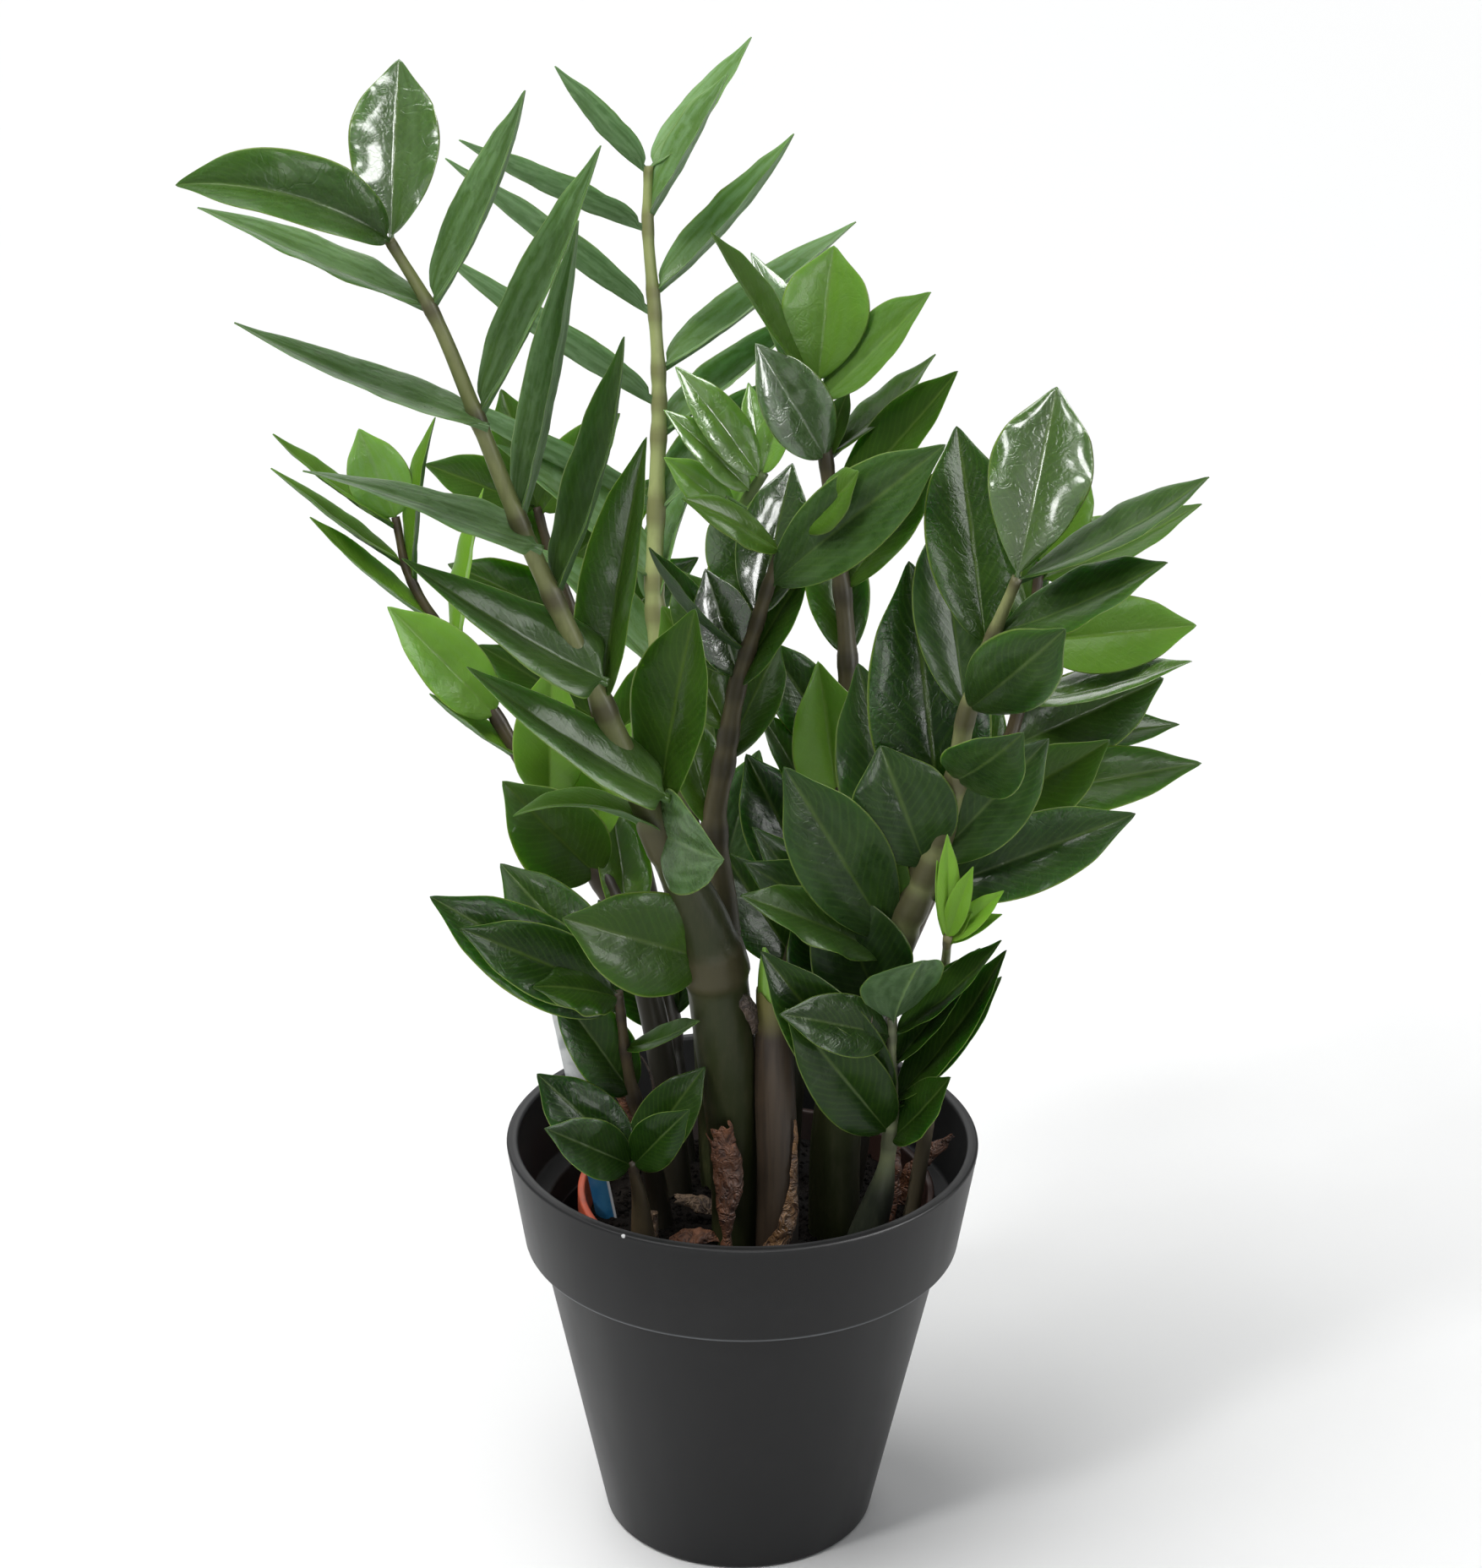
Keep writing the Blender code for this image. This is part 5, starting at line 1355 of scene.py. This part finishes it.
class ZZ_OT_fronds(bpy.types.Operator):
    """Grow every frond: its stem with swollen joints, and its leaflets"""

    bl_idname = "zz_plant.fronds"
    bl_label = "Fronds"

    def execute(self, context):
        settings = context.scene.zz_leaf
        leaf, glossy = leaf_surface(settings, "leaf", 0.0), leaf_surface(settings, "glossy_leaf", 1.0)
        stems = {name: stem_surface(name) for name in STEM_COLOURS}
        values = {"Sides": settings.sides, "Rings": settings.rings, "Stem_sides": settings.stem_sides,
                  "Margin": settings.margin, "Rib": settings.rib, "Leaf": leaf, "Glossy_leaf": glossy}
        shape = frond_shape(values)
        for number, (name, look) in enumerate(LOOKS.items()):
            draw = np.random.RandomState(100 + number)
            piece = frond_plan(name + "_fine", FRONDS[name], look, draw)
            shape.apply_to(piece, Stem=stems[look["stem"]], **values)
            keep_attributes(piece, LEAF_ATTRIBUTES)
            dress(piece, "young_leaf" if look["tone"] > YOUNG_TONE else "leaf", [name])
        return {"FINISHED"}


class ZZ_OT_shoot(bpy.types.Operator):
    """Build the new shoot: its rolled green leaves and the brown papery sheath round them"""

    bl_idname = "zz_plant.shoot"
    bl_label = "Shoot"

    def execute(self, context):
        line, _ = smooth_line(FRONDS["shoot_spear"]["stem"], 2.0)
        foot = line[0] - np.array((0, 0, SHOOT_DEPTH, 0))
        line = np.vstack((foot, line))
        green = Surface("shoot_green", Roughness=0.4)
        place = green.place()
        green.set(Base_Color=green.mixed(green.noise(place, 80.0), (0.17, 0.40, 0.035), (0.28, 0.50, 0.07)))
        green.set(Subsurface_Weight=0.15, Subsurface_Scale=0.002, Subsurface_Radius=(0.6, 1.0, 0.2))
        core = spindle("shoot_core", line, 40, 0.94)
        dress(core, "shoot", (), green.material)
        sheath = wrapped_sheath("shoot_sheath_wrap", line, SHEATH_TOP)
        dress(sheath, "shoot", ["shoot_spear"], sheath_surface())
        return {"FINISHED"}


def spindle(name, rings, sides, share):
    """A round bar through rings of x, y, z and radius, with a shallow spiral groove."""
    points = []
    for x, y, z, radius in rings:
        for k in range(sides):
            turn = 2 * math.pi * k / sides
            groove = 1 - 0.1 * math.exp(-(((turn - z * 0.012) % (math.pi * 0.9) - 1.2) / 0.16) ** 2)
            reach = radius * share * groove
            points.append((x + reach * math.cos(turn), y + reach * math.sin(turn), z))
    numbers = [tuple(range(start, start + sides)) for start in range(0, len(points), sides)]
    faces = ring_faces(numbers) + [numbers[0][::-1], numbers[-1]]
    return smooth_shaded(new_object(name, points, faces), 60)


def wrapped_sheath(name, line, top):
    """A papery sheath that wraps the shoot more than once round, torn along its upper edge."""
    columns, rows = 60, 46
    points = []
    for row in range(rows):
        for column in range(columns):
            turn = math.radians(-62 + 400 * column / (columns - 1))
            tear = 3.5 * noise.noise(Vector((turn * 1.4, 4.2, 0))) - 2.0 * math.cos(turn)
            z = line[0][2] + (top + tear - line[0][2]) * row / (rows - 1)
            x, y, radius = (np.interp(z, line[:, 2], line[:, k]) for k in (0, 1, 3))
            ribs = 0.05 * math.sin(turn * 23) + 0.3 * noise.noise(Vector((turn * 1.5, z * 0.03, 2)))
            reach = radius * 0.95 + ribs + 0.8 * column / (columns - 1)
            points.append((x + reach * math.cos(turn), y + reach * math.sin(turn), z))
    return thickened(new_object(name, points, grid_faces(rows, columns)), 0.35)


class ZZ_OT_dry_scales(bpy.types.Operator):
    """Build the dry scales and the cut stem's foot between the fronds"""

    bl_idname = "zz_plant.dry_scales"
    bl_label = "Dry scales"

    def execute(self, context):
        # The seed is fixed, so that the scales crumple in the same way in each run.
        noise.seed_set(SCALE_SEED)
        tissues = {name: papery_surface(name, *look) for name, look in TISSUES.items()}
        for seed, (name, nodes, tissue, line, widths, front, roll) in enumerate(SCALES, 1):
            piece = crumpled_sheet(name, line, widths, front, roll, float(seed))
            dress(piece, "dry_scale", nodes, tissues[tissue])
        rings, _ = smooth_line(FRONDS["dry_stub"]["stem"], 1.5)
        stub = spindle("stub_fine", np.vstack((rings[0] - np.array((0, 0, 8, 0)), rings)), 20, 1.0)
        dress(stub, "dry_scale", ["dry_stub"], tissues["dry_scrap"])
        curl, _ = smooth_line(CURLED_STALK, 1.0)
        dress(spindle("curled_stalk", curl[::-1], 10, 1.0), "dry_scale", (), tissues["dry_curl"])
        return {"FINISHED"}


class ZZ_OT_stage(bpy.types.Operator):
    """Set the pale floor, the soft lights and the camera"""

    bl_idname = "zz_plant.stage"
    bl_label = "Stage"

    def execute(self, context):
        settings = context.scene.zz_stage
        scene = context.scene
        reach = settings.floor_radius / MM
        floor = new_object("floor", [(reach * math.cos(t), reach * math.sin(t), -0.4)
                                     for t in np.linspace(0, 2 * math.pi, 96, endpoint=False)],
                           [tuple(range(96))])
        surface = Surface("pale_floor", Roughness=0.7, Specular_IOR_Level=0.2,
                          Base_Color=tuple(settings.floor))
        floor.data.materials.append(surface.material)

        camera = bpy.data.objects.new("camera", bpy.data.cameras.new("camera"))
        scene.collection.objects.link(camera)
        camera.data.lens = settings.focal
        camera.data.sensor_width = 36.0
        camera.data.clip_end = 50.0
        camera.location = settings.camera_place
        camera.rotation_mode = "QUATERNION"
        camera.rotation_quaternion = camera_turn(settings)
        scene.camera = camera

        for name, place, strength, width in SUNS:
            add_light(name, "SUN", (0.0, 0.0, 0.0), place,
                      energy=getattr(settings, strength), angle=math.radians(width))
        for number, (place, size, power) in enumerate(LAMPS):
            lamp = add_light(f"lamp_{number}", "AREA", (0.0, 0.0, 0.45), place,
                             shape="DISK", size=size, energy=power)
            lamp.visible_diffuse = False
            lamp.visible_camera = False
        near = add_light("near", "AREA", (0.0, 0.0, 0.4), NEAR_PLACE, shape="DISK", size=0.5,
                         energy=settings.near_power)
        near.visible_camera = False
        world = bpy.data.worlds.new("studio")
        world.use_nodes = True
        background = world.node_tree.nodes["Background"]
        background.inputs[0].default_value = (0.96, 0.98, 1.0, 1.0)
        background.inputs[1].default_value = settings.sky_strength
        scene.world = world
        scene.view_settings.view_transform = "Standard"
        return {"FINISHED"}


def camera_turn(settings):
    """The camera's rotation from its yaw, pitch and roll."""
    yaw, pitch, roll = settings.yaw, settings.pitch, settings.roll
    ahead = Vector((math.sin(yaw) * -math.cos(pitch), math.cos(yaw) * math.cos(pitch), -math.sin(pitch)))
    return ahead.to_track_quat("-Z", "Y") @ Quaternion((0.0, 0.0, 1.0), roll)


def add_light(name, kind, target, place, **values):
    """A light that stands at a place and shines at a target. A sun only takes its direction from them."""
    lamp = bpy.data.lights.new(name, kind)
    for key, value in values.items():
        setattr(lamp, key, value)
    made = bpy.data.objects.new(name, lamp)
    made.location = place
    made.rotation_mode = "QUATERNION"
    made.rotation_quaternion = (Vector(target) - Vector(place)).to_track_quat("-Z", "Y")
    bpy.context.scene.collection.objects.link(made)
    return made


class ZZ_PT_plant(bpy.types.Panel):
    """Lists the plant's pieces in the sidebar"""

    bl_label = "ZZ plant"
    bl_idname = "ZZ_PT_plant"
    bl_space_type = "VIEW_3D"
    bl_region_type = "UI"
    bl_category = "ZZ plant"

    def draw(self, context):
        scene = context.scene
        for operator, settings in PANEL_ROWS:
            self.layout.operator(operator.bl_idname)
            for key in getattr(scene, settings).bl_rna.properties.keys():
                if key not in ("rna_type", "name"):
                    self.layout.prop(getattr(scene, settings), key)


OPERATORS = (
    ZZ_OT_planter, ZZ_OT_growing_pot, ZZ_OT_soil, ZZ_OT_label,
    ZZ_OT_fronds, ZZ_OT_shoot, ZZ_OT_dry_scales, ZZ_OT_stage,
)
PANEL_ROWS = (
    (ZZ_OT_planter, "zz_planter"), (ZZ_OT_growing_pot, "zz_planter"), (ZZ_OT_soil, "zz_soil"),
    (ZZ_OT_fronds, "zz_leaf"), (ZZ_OT_stage, "zz_stage"),
)
SETTINGS = {
    "zz_planter": PlanterSettings, "zz_leaf": LeafSettings,
    "zz_soil": SoilSettings, "zz_stage": StageSettings,
}


def register():
    for kind in (*SETTINGS.values(), *OPERATORS, ZZ_PT_plant):
        bpy.utils.register_class(kind)
    for name, kind in SETTINGS.items():
        setattr(bpy.types.Scene, name, PointerProperty(type=kind))


def unregister():
    for name in SETTINGS:
        delattr(bpy.types.Scene, name)
    for kind in reversed((*SETTINGS.values(), *OPERATORS, ZZ_PT_plant)):
        bpy.utils.unregister_class(kind)


def main():
    register()
    for operator in OPERATORS:
        group, name = operator.bl_idname.split(".")
        getattr(getattr(bpy.ops, group), name)()


if __name__ == "__main__":
    main()
